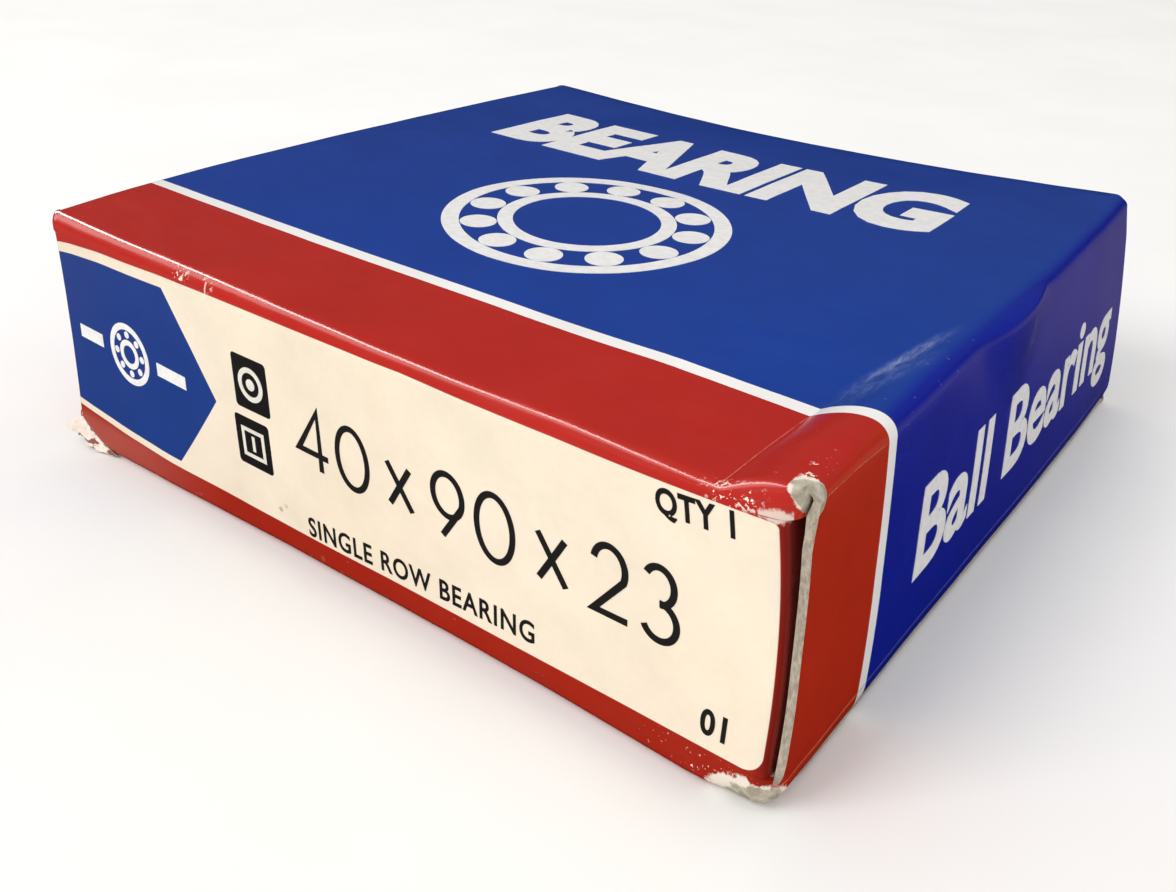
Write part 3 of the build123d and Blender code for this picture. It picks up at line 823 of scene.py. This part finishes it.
def flap_profile(y, side):
    """(x, z), way inwards and distance past the crease, down the flap at y: fold, plate, lower crease and band."""
    if side > 0:
        fold = fold_curve(y, np.linspace(0, 1, NB))
        start = seam_x(y)
        lead = [(start, float(top_z(start, y))), ((start + fold[0, 0]) / 2 + 1e-3, float(top_z((start + fold[0, 0]) / 2, y)))]
        outer = lambda z: float(plate_x(y, z))
        z1 = fold[-1, 1]
    else:
        th = np.linspace(0, math.pi / 2, NB)
        fold = np.stack([44.95 + 1.5 * np.sin(th), 25.5 + 1.5 * np.cos(th)], -1)
        lead = [(44.0, 27.0), (44.5, 27.0)]
        outer = lambda z: 46.45
        z1 = 25.5
    pts = lead + [tuple(p) for p in fold]
    pts += [(outer(z), z) for z in lin(z1, 2.72, 20)[1:]]
    for k in range(1, 8):
        t = k / 7
        pts.append((outer(2.72) - (0.72 if side > 0 else 0.42) * (1 - math.cos(math.pi / 2 * t)), 2.72 - 2.07 * math.sin(math.pi / 2 * t)))
    pts = np.array(pts)
    d = np.zeros_like(pts)
    d[1:-1] = pts[2:] - pts[:-2]
    d[0], d[-1] = pts[1] - pts[0], pts[-1] - pts[-2]
    if side > 0 and lead[0][0] > fold[0, 0] - 0.02:
        d[:3] = fold[1] - fold[0]
    d /= np.maximum(np.linalg.norm(d, axis=1, keepdims=True), 1e-9)
    nrm = np.stack([d[:, 1], -d[:, 0]], -1)
    s = np.concatenate([[0], np.cumsum(np.linalg.norm(np.diff(pts, axis=0), axis=1))])
    past = s - s[1 + NB]
    pts[:, 0] *= side
    nrm[:, 0] *= side
    return pts, nrm, past


def end_flap(name, side, node, mats):
    b = Board(name, mats)
    cols = len(flap_profile(0.0, side)[0])
    last = 1 + NB
    ts = np.concatenate([np.linspace(0, 0.12, 22)[:-1], np.linspace(0.12, 0.4, 26)[:-1], np.linspace(0.4, 0.9, 26)[:-1], np.linspace(0.9, 1, 9)])
    P = np.zeros((len(ts), cols, 3))
    N = np.zeros_like(P)
    L = np.zeros((len(ts), cols, 2))
    for i, t in enumerate(ts):
        for j in range(cols):
            # the fold stops at the front and rear panels' folds; the plate reaches a little further
            over = min(1.0, max(0.0, (j - last) / 3.0))
            front = 45.0 + (0.95 if side > 0 else 0.1) * over
            rear = 45.0 + 0.9 * over
            below = max(0.0, (j - (cols - 10)) / 9.0)
            front -= 1.3 * below ** 2
            rear -= 0.8 * below ** 2
            y = -front + (front + rear) * t
            pr, nr, past = flap_profile(y, side)
            P[i, j] = (pr[j, 0], y, pr[j, 1])
            N[i, j] = (nr[j, 0], 0, nr[j, 1])
            L[i, j] = (abs(P[i, j, 0]) - float(crease_x(y)) if side > 0 and j <= last else 40.0, past[j] if side > 0 else 40.0)
    b.patch(P, N, lambda c: 0, L)
    def swell(p):
        """The cut edge is swollen; the middle, where the bearing rubs, is pressed thin."""
        t = -0.27 * smooth01((15 - np.abs(p[:, 1])) / 7) * smooth01((p[:, 2] - 1.5) / 1.0) * smooth01((26.6 - p[:, 2]) / 0.8)
        return t + (0.18 * smooth01((-44.2 - p[:, 1]) / 1.2) * (p[:, 2] < 25.5) if side > 0 else 0.0)

    gap = (lambda c: c[2] > 25.8 and abs(c[0] - seam_x(c[1])) < 0.06) if side > 0 else (lambda c: c[2] > 26.99)
    ob = b.build(gap, swell=swell)
    if side > 0:
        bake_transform(ob)
    else:
        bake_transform(ob)
    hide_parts(node)
    return ob


def tuck_lip(name, side, node, mats):
    b = Board(name, mats)
    E = np.array([46.03 if side > 0 else 46.03, 0.65])
    d0 = np.array([-math.sin(math.radians(75)), -math.cos(math.radians(75))])
    d1 = np.array([-math.cos(math.radians(11.5)), math.sin(math.radians(11.5))])
    pts, L = [E], 0.0
    for k in range(1, 4):
        d = d0 + (d1 - d0) * k / 4
        pts.append(pts[-1] + d / np.linalg.norm(d) * 0.12)
    for k in range(22):
        pts.append(pts[-1] + d1 * 0.355)
    pts = np.array(pts)
    s = np.concatenate([[0], np.cumsum(np.linalg.norm(np.diff(pts, axis=0), axis=1))])
    tan = np.gradient(pts, axis=0)
    tan /= np.linalg.norm(tan, axis=1, keepdims=True)
    nrm = np.stack([-tan[:, 1], tan[:, 0]], -1)
    nrm *= np.where(nrm[:, 1:2] < 0, -1, 1)
    tt = np.linspace(-1, 1, 61)
    P = np.zeros((len(tt), len(pts), 3))
    N = np.zeros_like(P)
    for j in range(len(pts)):
        q = max(0.0, s[j] - (s[-1] - 4.0))
        half = 43.5 - (4.0 - math.sqrt(max(0.0, 16.0 - q * q)))
        for i, t in enumerate(tt):
            P[i, j] = (side * pts[j, 0], half * t, pts[j, 1])
            N[i, j] = (side * nrm[j, 0], 0, nrm[j, 1])
    b.patch(P, N, lambda c: 0)
    ob = b.build(None, thick=0.48)
    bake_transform(ob)
    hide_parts(node)
    return ob


def dust_flap(name, side, face, node, mats):
    """side is +1 at the right-hand end, face -1 at the label side."""
    b = Board(name, mats)
    prof = [(44.3, 46.5, 0.0, -1.0)]
    for k in range(11):
        a = math.pi / 2 * k / 10
        prof.append((44.6 + math.sin(a), 45.5 + math.cos(a), -math.sin(a), -math.cos(a)))
    prof += [(45.6, y, -1.0, 0.0) for y in lin(45.5, 24.0, 20)[1:]]
    zs = np.linspace(0, 1, 25)
    P = np.zeros((len(zs), len(prof), 3))
    N = np.zeros_like(P)
    for j, (x, y, nx, ny) in enumerate(prof):
        run = max(0.0, 45.5 - y)
        top = 25.03 - 0.42 * run
        low = LOW_CUT + 0.02 * run
        q = max(0.0, (24.0 + 3.0) - y)
        cut = 3.0 - math.sqrt(max(0.0, 9.0 - q * q))
        for i, t in enumerate(zs):
            z = (low + 0.3 * cut) + (top - cut - low - 0.3 * cut) * t
            P[i, j] = (side * x, face * y, z)
            N[i, j] = (side * nx, face * ny, 0)
    near = 2 if face < 0 else 0
    b.patch(P, N, lambda c: near if abs(c[1]) > 45.45 else 1)
    ob = b.build(lambda c: abs(abs(c[0]) - 44.3) < 1e-3)
    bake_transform(ob)
    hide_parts(node)
    return ob


for side, hand in ((1, "right"), (-1, "left")):
    end_flap(f"{hand}_flap_board", side, f"{hand}_end_flap", [M_STRIPE, M_IN, M_EDGE])
    tuck_lip(f"{hand}_lip_board", side, f"{hand}_tuck_lip", [M_STRIPE, M_IN, M_EDGE])
    for face, which in ((-1, "front"), (1, "rear")):
        dust_flap(f"{hand}_{which}_dust_board", side, face, f"{hand}_{which}_dust_flap",
                  [M_STRIPE, M_DUST, M_LABEL, M_IN, M_EDGE])


# ------------------------------------------------------------------ printed lettering and signs
def stroke(points, width, closed=False):
    """A flat band of even width along a line, as [(vertices, quads)]."""
    p = np.array(points, float)
    if closed:
        nxt, prv = np.roll(p, -1, 0), np.roll(p, 1, 0)
    else:
        nxt, prv = np.vstack([p[1:], 2 * p[-1] - p[-2]]), np.vstack([2 * p[0] - p[1], p[:-1]])
    a, b = p - prv, nxt - p
    a /= np.linalg.norm(a, axis=1, keepdims=True)
    b /= np.linalg.norm(b, axis=1, keepdims=True)
    na, nb = np.stack([-a[:, 1], a[:, 0]], -1), np.stack([-b[:, 1], b[:, 0]], -1)
    m = na + nb
    m /= np.linalg.norm(m, axis=1, keepdims=True)
    k = np.clip(1.0 / np.maximum((m * na).sum(1), 0.35), 1, 2.2)[:, None]
    L, R = p + m * k * width / 2, p - m * k * width / 2
    V = np.vstack([L, R])
    n = len(p)
    F = [[i, i + n, (i + 1) % n + n, (i + 1) % n] for i in range(n if closed else n - 1)]
    return V, F


def disc(cx, cy, r, n=40):
    V = [(cx, cy)] + [(cx + r * math.cos(2 * math.pi * i / n), cy + r * math.sin(2 * math.pi * i / n)) for i in range(n)]
    return np.array(V), [[0, 1 + i, 1 + (i + 1) % n] for i in range(n)]


def circle(cx, cy, r, n=96):
    return [(cx + r * math.cos(2 * math.pi * i / n), cy + r * math.sin(2 * math.pi * i / n)) for i in range(n)]


def bend_arc(cx, cy, rx, ry, a0, a1, n=26):
    return [(cx + rx * math.cos(math.radians(a)), cy + ry * math.sin(math.radians(a))) for a in lin(a0, a1, n)]


def text2d(body, weight=0.0, spacing=1.0, shear=0.0):
    """Vertices, faces and cap height of a word in Blender's own built-in typeface."""
    def make(s):
        cu = bpy.data.curves.new("tmp_text", "FONT")
        cu.body, cu.size, cu.offset, cu.resolution_u = s, 1.0, weight, 5
        cu.space_character, cu.shear = spacing, shear
        ob = bpy.data.objects.new("tmp_text", cu)
        bpy.context.scene.collection.objects.link(ob)
        bpy.context.view_layer.update()
        me = bpy.data.meshes.new_from_object(ob.evaluated_get(bpy.context.evaluated_depsgraph_get()))
        V = np.array([v.co[:2] for v in me.vertices])
        F = [list(p.vertices) for p in me.polygons]
        bpy.data.objects.remove(ob)
        bpy.data.curves.remove(cu)
        bpy.data.meshes.remove(me)
        return V, F
    V, F = make(body)
    cap = make("E")[0]
    return V, F, cap[:, 1].min(), cap[:, 1].max()


def fit_text(body, x0, x1, y0, y1, weight=0.0, spacing=1.0, shear=0.0):
    """The word from x0 to x1, its capitals from y0 to y1."""
    V, F, c0, c1 = text2d(body, weight, spacing, shear)
    V = V.copy()
    V[:, 0] = x0 + (V[:, 0] - V[:, 0].min()) / np.ptp(V[:, 0]) * (x1 - x0)
    V[:, 1] = y0 + (V[:, 1] - c0) / (c1 - c0) * (y1 - y0)
    return V, F


def on_front(p, o):
    return np.stack([p[:, 0], np.full(len(p), -46.5 - o), p[:, 1]], -1)


def on_top(p, o):
    return np.stack([p[:, 0], p[:, 1], np.full(len(p), 27.0 + o)], -1)


def on_right(p, o):
    tx = np.interp(p[:, 0], FOLD_Y, FOLD_P[:, 3, 0])
    tz = np.interp(p[:, 0], FOLD_Y, FOLD_P[:, 3, 1])
    t = np.clip((p[:, 1] - 13.0) / (tz - 13.0), 0, 1)
    return np.stack([46.75 + (tx - 46.75) * t ** 1.5 + o, p[:, 0], p[:, 1]], -1)


def ink(name, parts, place, mat, body, slot, tilt=0.0, step=2.2, height=0.035, other=None):
    """Ink standing slightly proud of the board, cut so that it follows the worn faces."""
    bm = bmesh.new()
    for V, F in parts:
        vs = [bm.verts.new((x, y, 0)) for x, y in V]
        for f in F:
            try:
                bm.faces.new([vs[i] for i in f])
            except ValueError:
                pass
    bmesh.ops.remove_doubles(bm, verts=bm.verts, dist=1e-4)
    lo = np.min([v.co[:2] for v in bm.verts], 0)
    hi = np.max([v.co[:2] for v in bm.verts], 0)
    for ax in (0, 1):
        c = lo[ax] + step / 2
        while c < hi[ax]:
            n = (1, 0, 0) if ax == 0 else (0, 1, 0)
            bmesh.ops.bisect_plane(bm, geom=bm.verts[:] + bm.edges[:] + bm.faces[:], plane_co=(c, c, 0), plane_no=n, dist=1e-5)
            c += step
    for f in bm.faces:
        if f.normal.z < 0:
            f.normal_flip()
    bm.verts.index_update()
    V = np.array([v.co[:2] for v in bm.verts])
    faces = [[v.index for v in f.verts] for f in bm.faces]
    walls = []
    for e in bm.edges:
        if len(e.link_faces) == 1:
            f = e.link_faces[0]
            a, b = [l for l in f.loops if l.edge == e][0].vert, [l for l in f.loops if l.edge == e][0].link_loop_next.vert
            walls.append((a.index, b.index))
    bm.free()
    n = len(V)
    flip = place in (on_top, on_right, on_front)
    P = np.vstack([place(V, height), place(V, -0.06)])
    out = [list(f) for f in faces] + [[v + n for v in f[::-1]] for f in faces] + [[b, a, a + n, b + n] for a, b in walls]
    me = bpy.data.meshes.new(name)
    me.from_pydata((worn(P) * MM).tolist(), [], out)
    me.materials.append(mat)
    me.update()
    ob = bpy.data.objects.new(name, me)
    bpy.context.scene.collection.objects.link(ob)
    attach(ob, body)
    return ob


def glyph(ch, x, y, w, h):
    """Thin geometric figures made of lines and arcs, as lists of points."""
    X = lambda u: x + u * w
    Y = lambda v: y + v * h
    A = lambda cx, cy, rx, ry, a, b, n=26: bend_arc(X(cx), Y(cy), rx * w, ry * h, a, b, n)
    if ch == "0":
        return [(A(0.5, 0.5, 0.5, 0.5, 0, 360, 64)[:-1], True)]
    if ch == "4":
        return [([(X(0.74), Y(0.0)), (X(0.74), Y(1.0)), (X(0.0), Y(0.27)), (X(1.0), Y(0.27))], False)]
    if ch == "9":
        return [(A(0.5, 0.67, 0.46, 0.33, 0, 360, 54)[:-1], True), ([(X(0.93), Y(0.55))] + [(X(0.93 - 0.66 * t), Y(0.55 - 0.55 * t)) for t in (0.35, 0.7, 1.0)], False)]
    if ch == "2":
        return [(A(0.5, 0.70, 0.44, 0.30, 165, -28, 26) + [(X(0.03), Y(0.03)), (X(1.0), Y(0.03))], False)]
    if ch == "3":
        return [(A(0.46, 0.75, 0.40, 0.25, 150, -90, 26), False), (A(0.46, 0.26, 0.48, 0.26, 90, -155, 30), False)]
    if ch == "x":
        return [([(X(0.0), Y(0.1)), (X(1.0), Y(0.78))], False), ([(X(0.0), Y(0.78)), (X(1.0), Y(0.1))], False)]
    return []


def line_text(s, x0, x1, y0, y1, width, widths):
    """The word in thin lines from x0 to x1; y0 and y1 give the baseline and cap line at each end."""
    total = sum(widths[c][0] + widths[c][1] for c in s) - widths[s[-1]][1]
    k = (x1 - x0) / total
    parts, x = [], x0
    for c in s:
        w, gap = widths[c]
        if c != " ":
            for pts, closed in glyph(c, 0, 0, w * k, 1.0):
                q = np.array(pts, float)
                q[:, 0] += x
                t = (q[:, 0] - x0) / (x1 - x0)
                base = y0[0] + (y0[1] - y0[0]) * t
                cap = y1[0] + (y1[1] - y1[0]) * t
                q[:, 1] = base + q[:, 1] * (cap - base)
                parts.append(stroke(q, width, closed))
        x += (w + gap) * k
    return parts


WID = {"4": (0.62, 0.22), "0": (0.60, 0.22), "9": (0.56, 0.22), "2": (0.52, 0.22), "3": (0.50, 0.22), "x": (0.42, 0.2), " ": (0.12, 0.08)}
ink("label_size_text", line_text("40 x 90 x 23", -5.6, 37.0, (11.7, 10.9), (18.0, 17.6), 0.62, WID), on_front, M_BLACK, "carton", "label_board")


def slanted(VF, x0, x1, rise):
    V, F = VF
    V = V.copy()
    V[:, 1] += rise * (V[:, 0] - x0) / (x1 - x0)
    return V, F


ink("label_small_text", [slanted(fit_text("SINGLE ROW BEARING", -5.5, 23.0, 3.4, 5.6, 0.016, 1.12), -5.5, 23.0, 1.1)], on_front, M_BLACK, "carton", "label_board")
ink("label_code", [fit_text("QTY 1", 35.2, 41.7, 22.4, 24.7, 0.03, 1.1)], on_front, M_BLACK, "carton", "label_board")
ink("label_number", [fit_text("01", 39.5, 41.8, 4.7, 7.0, 0.028, 1.1)], on_front, M_BLACK, "carton", "label_board")

# simple signs in the two badges: a ring, and a box standing the right way up
ring = [stroke(circle(-12.1, 17.7, 1.55, 40), 0.55, True), disc(-12.1, 17.7, 0.62, 24)]
upbox = [stroke([(-14.2, 9.5), (-11.2, 9.5), (-11.2, 12.4), (-14.2, 12.4)], 0.42, True), stroke([(-12.7, 10.1), (-12.7, 11.8)], 0.42)]
ink("label_badge_signs", ring + upbox, on_front, mat_ink("ink_badge_white", (0.86, 0.82, 0.74)), "carton", "label_board")

# arrow: a plain bearing sign between two bars
sign = [stroke(circle(-33.2, 14.4, 3.15, 64), 0.72, True), stroke(circle(-33.2, 14.4, 1.35, 40), 0.62, True)]
for i in range(8):
    a = 2 * math.pi * i / 8
    sign.append(disc(-33.2 + 2.25 * math.cos(a), 14.4 + 2.25 * math.sin(a), 0.40, 16))
sign += [stroke([(-42.6, 14.5), (-38.2, 14.45)], 1.5), stroke([(-28.2, 14.3), (-23.2, 14.2)], 1.5)]
ink("label_arrow_sign", sign, on_front, M_WHITE, "carton", "label_board")

# top: the word and the drawing of a ball bearing
ink("top_word", [fit_text("BEARING", -32.6, 31.3, 14.3, 31.3, 0.052, 1.0)], on_top, M_WHITE, "carton", "blue_board")
cx, cy = -0.34, -6.95
pict = [stroke(circle(cx, cy, 15.4, 160), 1.95, True), stroke(circle(cx, cy, 9.3, 120), 1.75, True)]
for i in range(12):
    a = 2 * math.pi * (i + 0.5) / 12
    pict.append(disc(cx + 12.3 * math.cos(a), cy + 12.3 * math.sin(a), 2.05, 40))
ink("top_bearing_drawing", pict, on_top, M_WHITE, "carton", "blue_board")

# a torn flap of the board's white facing at the bottom left-hand corner
FL = [[(-45.9, 3.1), (-44.6, 1.9), (-42.6, 0.9), (-39.8, 0.15)],
      [(-46.5, 2.7), (-45.2, 1.3), (-43.2, 0.5), (-40.3, -0.05)],
      [(-47.2, 2.2), (-46.0, 0.9), (-43.9, 0.05), (-41.2, 0.0)],
      [(-47.9, 1.7), (-46.4, 0.45), (-44.4, 0.05), (-42.0, 0.0)]]
FL = np.array(FL) + [1.25, 0.15]


def bezier(row, t):
    k = len(row) - 1
    return sum(math.comb(k, i) * t ** i * (1 - t) ** (k - i) * row[i] for i in range(k + 1))


flake = Board("torn_flake", [mat_flake(), M_IN, M_EDGE])
FP, FN = [], []
for i in range(17):
    s = i / 16
    line = np.array([bezier(FL[:, k], s) for k in range(4)])
    row = []
    for j in range(33):
        t = j / 32
        x, z = bezier(line, t)
        lift = 0.75 * s ** 1.5 * (1 - 0.6 * t) + 0.16 * s * math.sin(9 * t + 1.0) + 0.08 * s * math.sin(23 * t)
        edge = 0.22 * s * math.sin(17 * t + 0.6) + 0.10 * s * math.sin(41 * t)
        row.append((x - edge * 0.6, -46.6 - lift, max(0.08, z + edge)))
    FP.append(row)
    FN.append([(0.0, 1.0, 0.0)] * 33)
flake.patch(np.array(FP), np.array(FN), lambda c: 0)
torn = flake.build(None, thick=0.12)
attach(torn, "carton")

# right-hand end flap
ink("flap_word", [fit_text("Ball Bearing", -23.2, 41.0, 8.2, 17.2, 0.022, 1.0, 0.06)], on_right, M_WHITE, "right_end_flap", "blue_board")


# ------------------------------------------------------------------ the bearing
def polar(g):
    """Radius, angle (turns) and height in mm about the bearing's axis."""
    n = g.t.nodes.new("ShaderNodeSeparateXYZ")
    g.put(g.objco(), n.inputs[0])
    x, y, z = n.outputs
    r = g.m("SQRT", g.add(g.m("POWER", x, 2.0), g.m("POWER", y, 2.0)))
    a = g.mul(g.m("ARCTAN2", y, x), 1.0 / (2 * math.pi))
    return r, a, z


def mat_ring():
    g = Nodes("bearing_ring_steel")
    r, a, z = polar(g)
    P = g.objco()
    lines = g.noise(g.vec(g.mul(r, 7.0), g.mul(a, 5.0), g.mul(z, 7.0)), 1.0, 4.0, 0.7)
    fine = g.noise(P, 3.0, 4.0, 0.65)
    c = g.mix(g.ramp(g.noise(P, 0.09, 3.0), 0.3, 0.7), (0.56, 0.56, 0.57), (0.66, 0.65, 0.64))
    c = g.mix(g.mul(g.above(fine, 0.68, 0.04), 0.35), c, (0.30, 0.28, 0.26))
    g.set("Base Color", c)
    g.set("Metallic", 1.0)
    g.set("Roughness", g.add(0.16, g.mul(lines, 0.22)))
    g.set("Normal", g.bump(g.add(g.mul(lines, 0.006), g.mul(fine, 0.002)), 0.6, 0.001))
    return g.mat


def mat_ball():
    g = Nodes("bearing_ball_steel")
    P = g.objco()
    f = g.noise(P, 0.6, 4.0, 0.6)
    s = g.noise(g.scale_vec(P, (1.0, 6.0, 1.0)), 2.0, 3.0, 0.6)
    g.set("Base Color", g.mix(g.ramp(f, 0.3, 0.7), (0.66, 0.665, 0.68), (0.74, 0.735, 0.73)))
    g.set("Metallic", 1.0)
    g.set("Roughness", g.add(0.05, g.mul(s, 0.08)))
    g.set("Normal", g.bump(s, 0.05, 0.00002))
    return g.mat


def mat_cage():
    g = Nodes("cage_dark_polyamide")
    P = g.objco()
    f = g.noise(P, 1.2, 5.0, 0.7)
    fib = g.voronoi(g.scale_vec(P, (1.0, 4.0, 1.0)), 1.4)
    g.set("Base Color", g.mix(g.ramp(f, 0.3, 0.7), (0.016, 0.017, 0.018), (0.030, 0.031, 0.031)))
    g.set("Roughness", g.ramp(f, 0.2, 0.8, 0.36, 0.55))
    g.set("Normal", g.bump(g.add(g.mul(f, 0.03), g.mul(fib, 0.012)), 0.5, 0.001))
    g.bsdf.inputs["Sheen Weight"].default_value = 0.05
    return g.mat


def mat_film():
    g = Nodes("protective_film_clear")
    P = g.objco()
    f = g.noise(g.scale_vec(P, (1.0, 1.0, 0.35)), 0.5, 4.0, 0.6)
    g.set("Base Color", g.mix(g.ramp(f, 0.3, 0.7), (0.72, 0.74, 0.72), (0.84, 0.84, 0.80)))
    g.set("Roughness", g.ramp(f, 0.25, 0.75, 0.14, 0.30))
    g.set("Normal", g.bump(g.add(f, g.mul(g.noise(P, 2.2, 3.0), 0.25)), 0.5, 0.0003))
    g.bsdf.inputs["Alpha"].default_value = 0.34
    return g.mat


M_RING, M_BALL, M_CAGE, M_FILM = mat_ring(), mat_ball(), mat_cage(), mat_film()
for name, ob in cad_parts.items():
    m = M_RING if name in ("outer_ring", "inner_ring") else M_BALL if name.startswith("ball_") else M_CAGE if name == "cage" else M_STRIPE
    if name in ("outer_ring", "inner_ring", "cage") or name.startswith("ball_"):
        ob.data.materials.clear()
        ob.data.materials.append(m)
        ob.data.polygons.foreach_set("material_index", [0] * len(ob.data.polygons))
        ob.data.polygons.foreach_set("use_smooth", [True] * len(ob.data.polygons))
        ob.data.set_sharp_from_angle(angle=math.radians(32))

# clear film heat-shrunk round the bearing, gathered where it turns in
prof = [(38.4, 26.27), (39.5, 26.29), (41.0, 26.29), (42.5, 26.28), (43.7, 26.24), (44.4, 25.95), (44.85, 25.35), (45.10, 24.6)]
prof += [(45.12, z) for z in lin(23.5, 5.6, 14)]
prof += [(45.10, 4.7), (44.85, 3.85), (44.4, 3.25), (43.7, 2.97), (42.8, 2.92), (41.9, 2.92)]
NA = 288
V, F = [], []
for i, (r, z) in enumerate(prof):
    for k in range(NA):
        a = 2 * math.pi * k / NA
        w = 0.5 + 0.5 * math.sin(a * 37 + 2.1 * math.sin(a * 5)) * math.cos(a * 11 + 0.7)
        edge = 1.0 if r < 44.5 else 0.35
        dr = 0.03 * w * edge
        dz = 0.0
        if r < 44.5:
            dz = (0.07 * w + 0.05 * math.sin(a * 61)) * (1 if z > 15 else -1) * min(1.0, (44.6 - r) / 1.5)
            dr += 0.45 * math.sin(a * 23 + 1.3 * math.sin(3 * a)) * max(0.0, (40.5 - r) / 2.1) if z > 15 else 0.25 * math.sin(a * 19) * max(0.0, (43.0 - r))
        zz = z + dz
        zz = min(zz, 26.42) if z > 15 else max(zz, 2.80)
        V.append(((r + dr) * math.cos(a) * MM, (r + dr) * math.sin(a) * MM, zz * MM))
for i in range(len(prof) - 1):
    for k in range(NA):
        F.append([i * NA + k, i * NA + (k + 1) % NA, (i + 1) * NA + (k + 1) % NA, (i + 1) * NA + k][::-1])
me = bpy.data.meshes.new("shrink_film")
me.from_pydata(V, [], F)
me.materials.append(M_FILM)
me.polygons.foreach_set("use_smooth", [True] * len(me.polygons))
me.update()
film = bpy.data.objects.new("shrink_film", me)
bpy.context.scene.collection.objects.link(film)
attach(film, "bearing")
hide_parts("protective_film")

# ------------------------------------------------------------------ stage, light and camera
g = Nodes("pale_floor")
P = g.objco()
g.set("Base Color", g.mix(g.ramp(g.noise(P, 0.02, 3.0), 0.3, 0.7), (0.90, 0.90, 0.90), (0.93, 0.93, 0.93)))
g.set("Roughness", 0.9)
g.bsdf.inputs["Specular IOR Level"].default_value = 0.0
me = bpy.data.meshes.new("floor")
s = 6.0
me.from_pydata([(-s, -s, 0), (s, -s, 0), (s, s, 0), (-s, s, 0)], [], [[0, 1, 2, 3]])
me.materials.append(g.mat)
floor = bpy.data.objects.new("floor", me)
bpy.context.scene.collection.objects.link(floor)
floor.location.z = -0.0002
floor.visible_glossy = False

world = bpy.data.worlds.new("studio")
bpy.context.scene.world = world
world.use_nodes = True
wt = world.node_tree
wt.nodes.clear()
# bright even light on every surface; what shines back from gloss is a dim room, darker below
wo = wt.nodes.new("ShaderNodeOutputWorld")
bright, dim, mixs, lp = wt.nodes.new("ShaderNodeBackground"), wt.nodes.new("ShaderNodeBackground"), wt.nodes.new("ShaderNodeMixShader"), wt.nodes.new("ShaderNodeLightPath")
bright.inputs[0].default_value = (1.0, 0.985, 0.965, 1)
bright.inputs[1].default_value = 0.86
tc, sx, rp = wt.nodes.new("ShaderNodeTexCoord"), wt.nodes.new("ShaderNodeSeparateXYZ"), wt.nodes.new("ShaderNodeValToRGB")
wt.links.new(tc.outputs["Generated"], sx.inputs[0])
mr = wt.nodes.new("ShaderNodeMath")
mr.operation = "MULTIPLY_ADD"
mr.inputs[1].default_value, mr.inputs[2].default_value = 0.5, 0.5
wt.links.new(sx.outputs[2], mr.inputs[0])
wt.links.new(mr.outputs[0], rp.inputs[0])
rp.color_ramp.interpolation = "EASE"
stops = [(-0.52, (0.004, 0.004, 0.005)), (-0.38, (0.03, 0.024, 0.026)), (-0.27, (0.150, 0.115, 0.105)), (-0.08, (0.120, 0.095, 0.090)),
         (0.05, (0.010, 0.010, 0.012)), (0.17, (0.010, 0.010, 0.012)), (0.27, (0.050, 0.050, 0.054)), (0.50, (0.022, 0.022, 0.025)), (0.85, (0.07, 0.07, 0.07))]
while len(rp.color_ramp.elements) < len(stops):
    rp.color_ramp.elements.new(0.5)
for e, (h, col) in zip(rp.color_ramp.elements, stops):
    e.position, e.color = 0.5 + 0.5 * h, (*col, 1)
wt.links.new(rp.outputs[0], dim.inputs[0])
dim.inputs[1].default_value = 1.0
wt.links.new(lp.outputs["Is Glossy Ray"], mixs.inputs[0])
wt.links.new(bright.outputs[0], mixs.inputs[1])
wt.links.new(dim.outputs[0], mixs.inputs[2])
wt.links.new(mixs.outputs[0], wo.inputs[0])


def area(name, loc, target, size, power, color=(1, 1, 1), size_y=None, diffuse=1.0, glossy=True):
    L = bpy.data.lights.new(name, "AREA")
    L.shape = "RECTANGLE"
    L.size, L.size_y = size, size_y or size
    L.energy, L.color = power, color
    L.diffuse_factor = diffuse
    ob = bpy.data.objects.new(name, L)
    bpy.context.scene.collection.objects.link(ob)
    ob.location = loc
    ob.rotation_euler = (Vector(target) - Vector(loc)).to_track_quat("-Z", "Y").to_euler()
    ob.visible_glossy = glossy
    return ob


area("key", (-0.35, -0.75, 0.75), (0, 0, 0.01), 0.5, 5.0, (1.0, 0.97, 0.93), glossy=False)
strip = area("strip", (-0.75, 0.075, 0.62), (0, -0.045, 0.02), 0.10, 6.0, (1.0, 0.98, 0.95), size_y=1.25)
strip.visible_diffuse = False
glow = area("glow", (-0.72, -0.20, 0.62), (0, -0.045, 0.02), 0.30, 2.6, (1.0, 0.90, 0.84), size_y=1.25)
glow.visible_diffuse = False

sc = bpy.context.scene
sc.view_settings.view_transform = "Standard"
sc.view_settings.look = "None"
cam = bpy.data.cameras.new("camera")
cam.sensor_width = 36.0
cam.lens = 34.693
cam.clip_start = 0.005
cam.clip_end = 30
co = bpy.data.objects.new("camera", cam)
sc.collection.objects.link(co)
right = Vector((0.805642, 0.591384, 0.034729))
down = Vector((0.311377, -0.372859, -0.874083))
fwd = Vector((-0.503969, 0.715011, -0.484534))
rot = Matrix((right, -down, -fwd)).transposed().to_4x4()
co.matrix_world = Matrix.Translation(Vector((0.0706556, -0.106619, 0.0660556))) @ rot
sc.camera = co
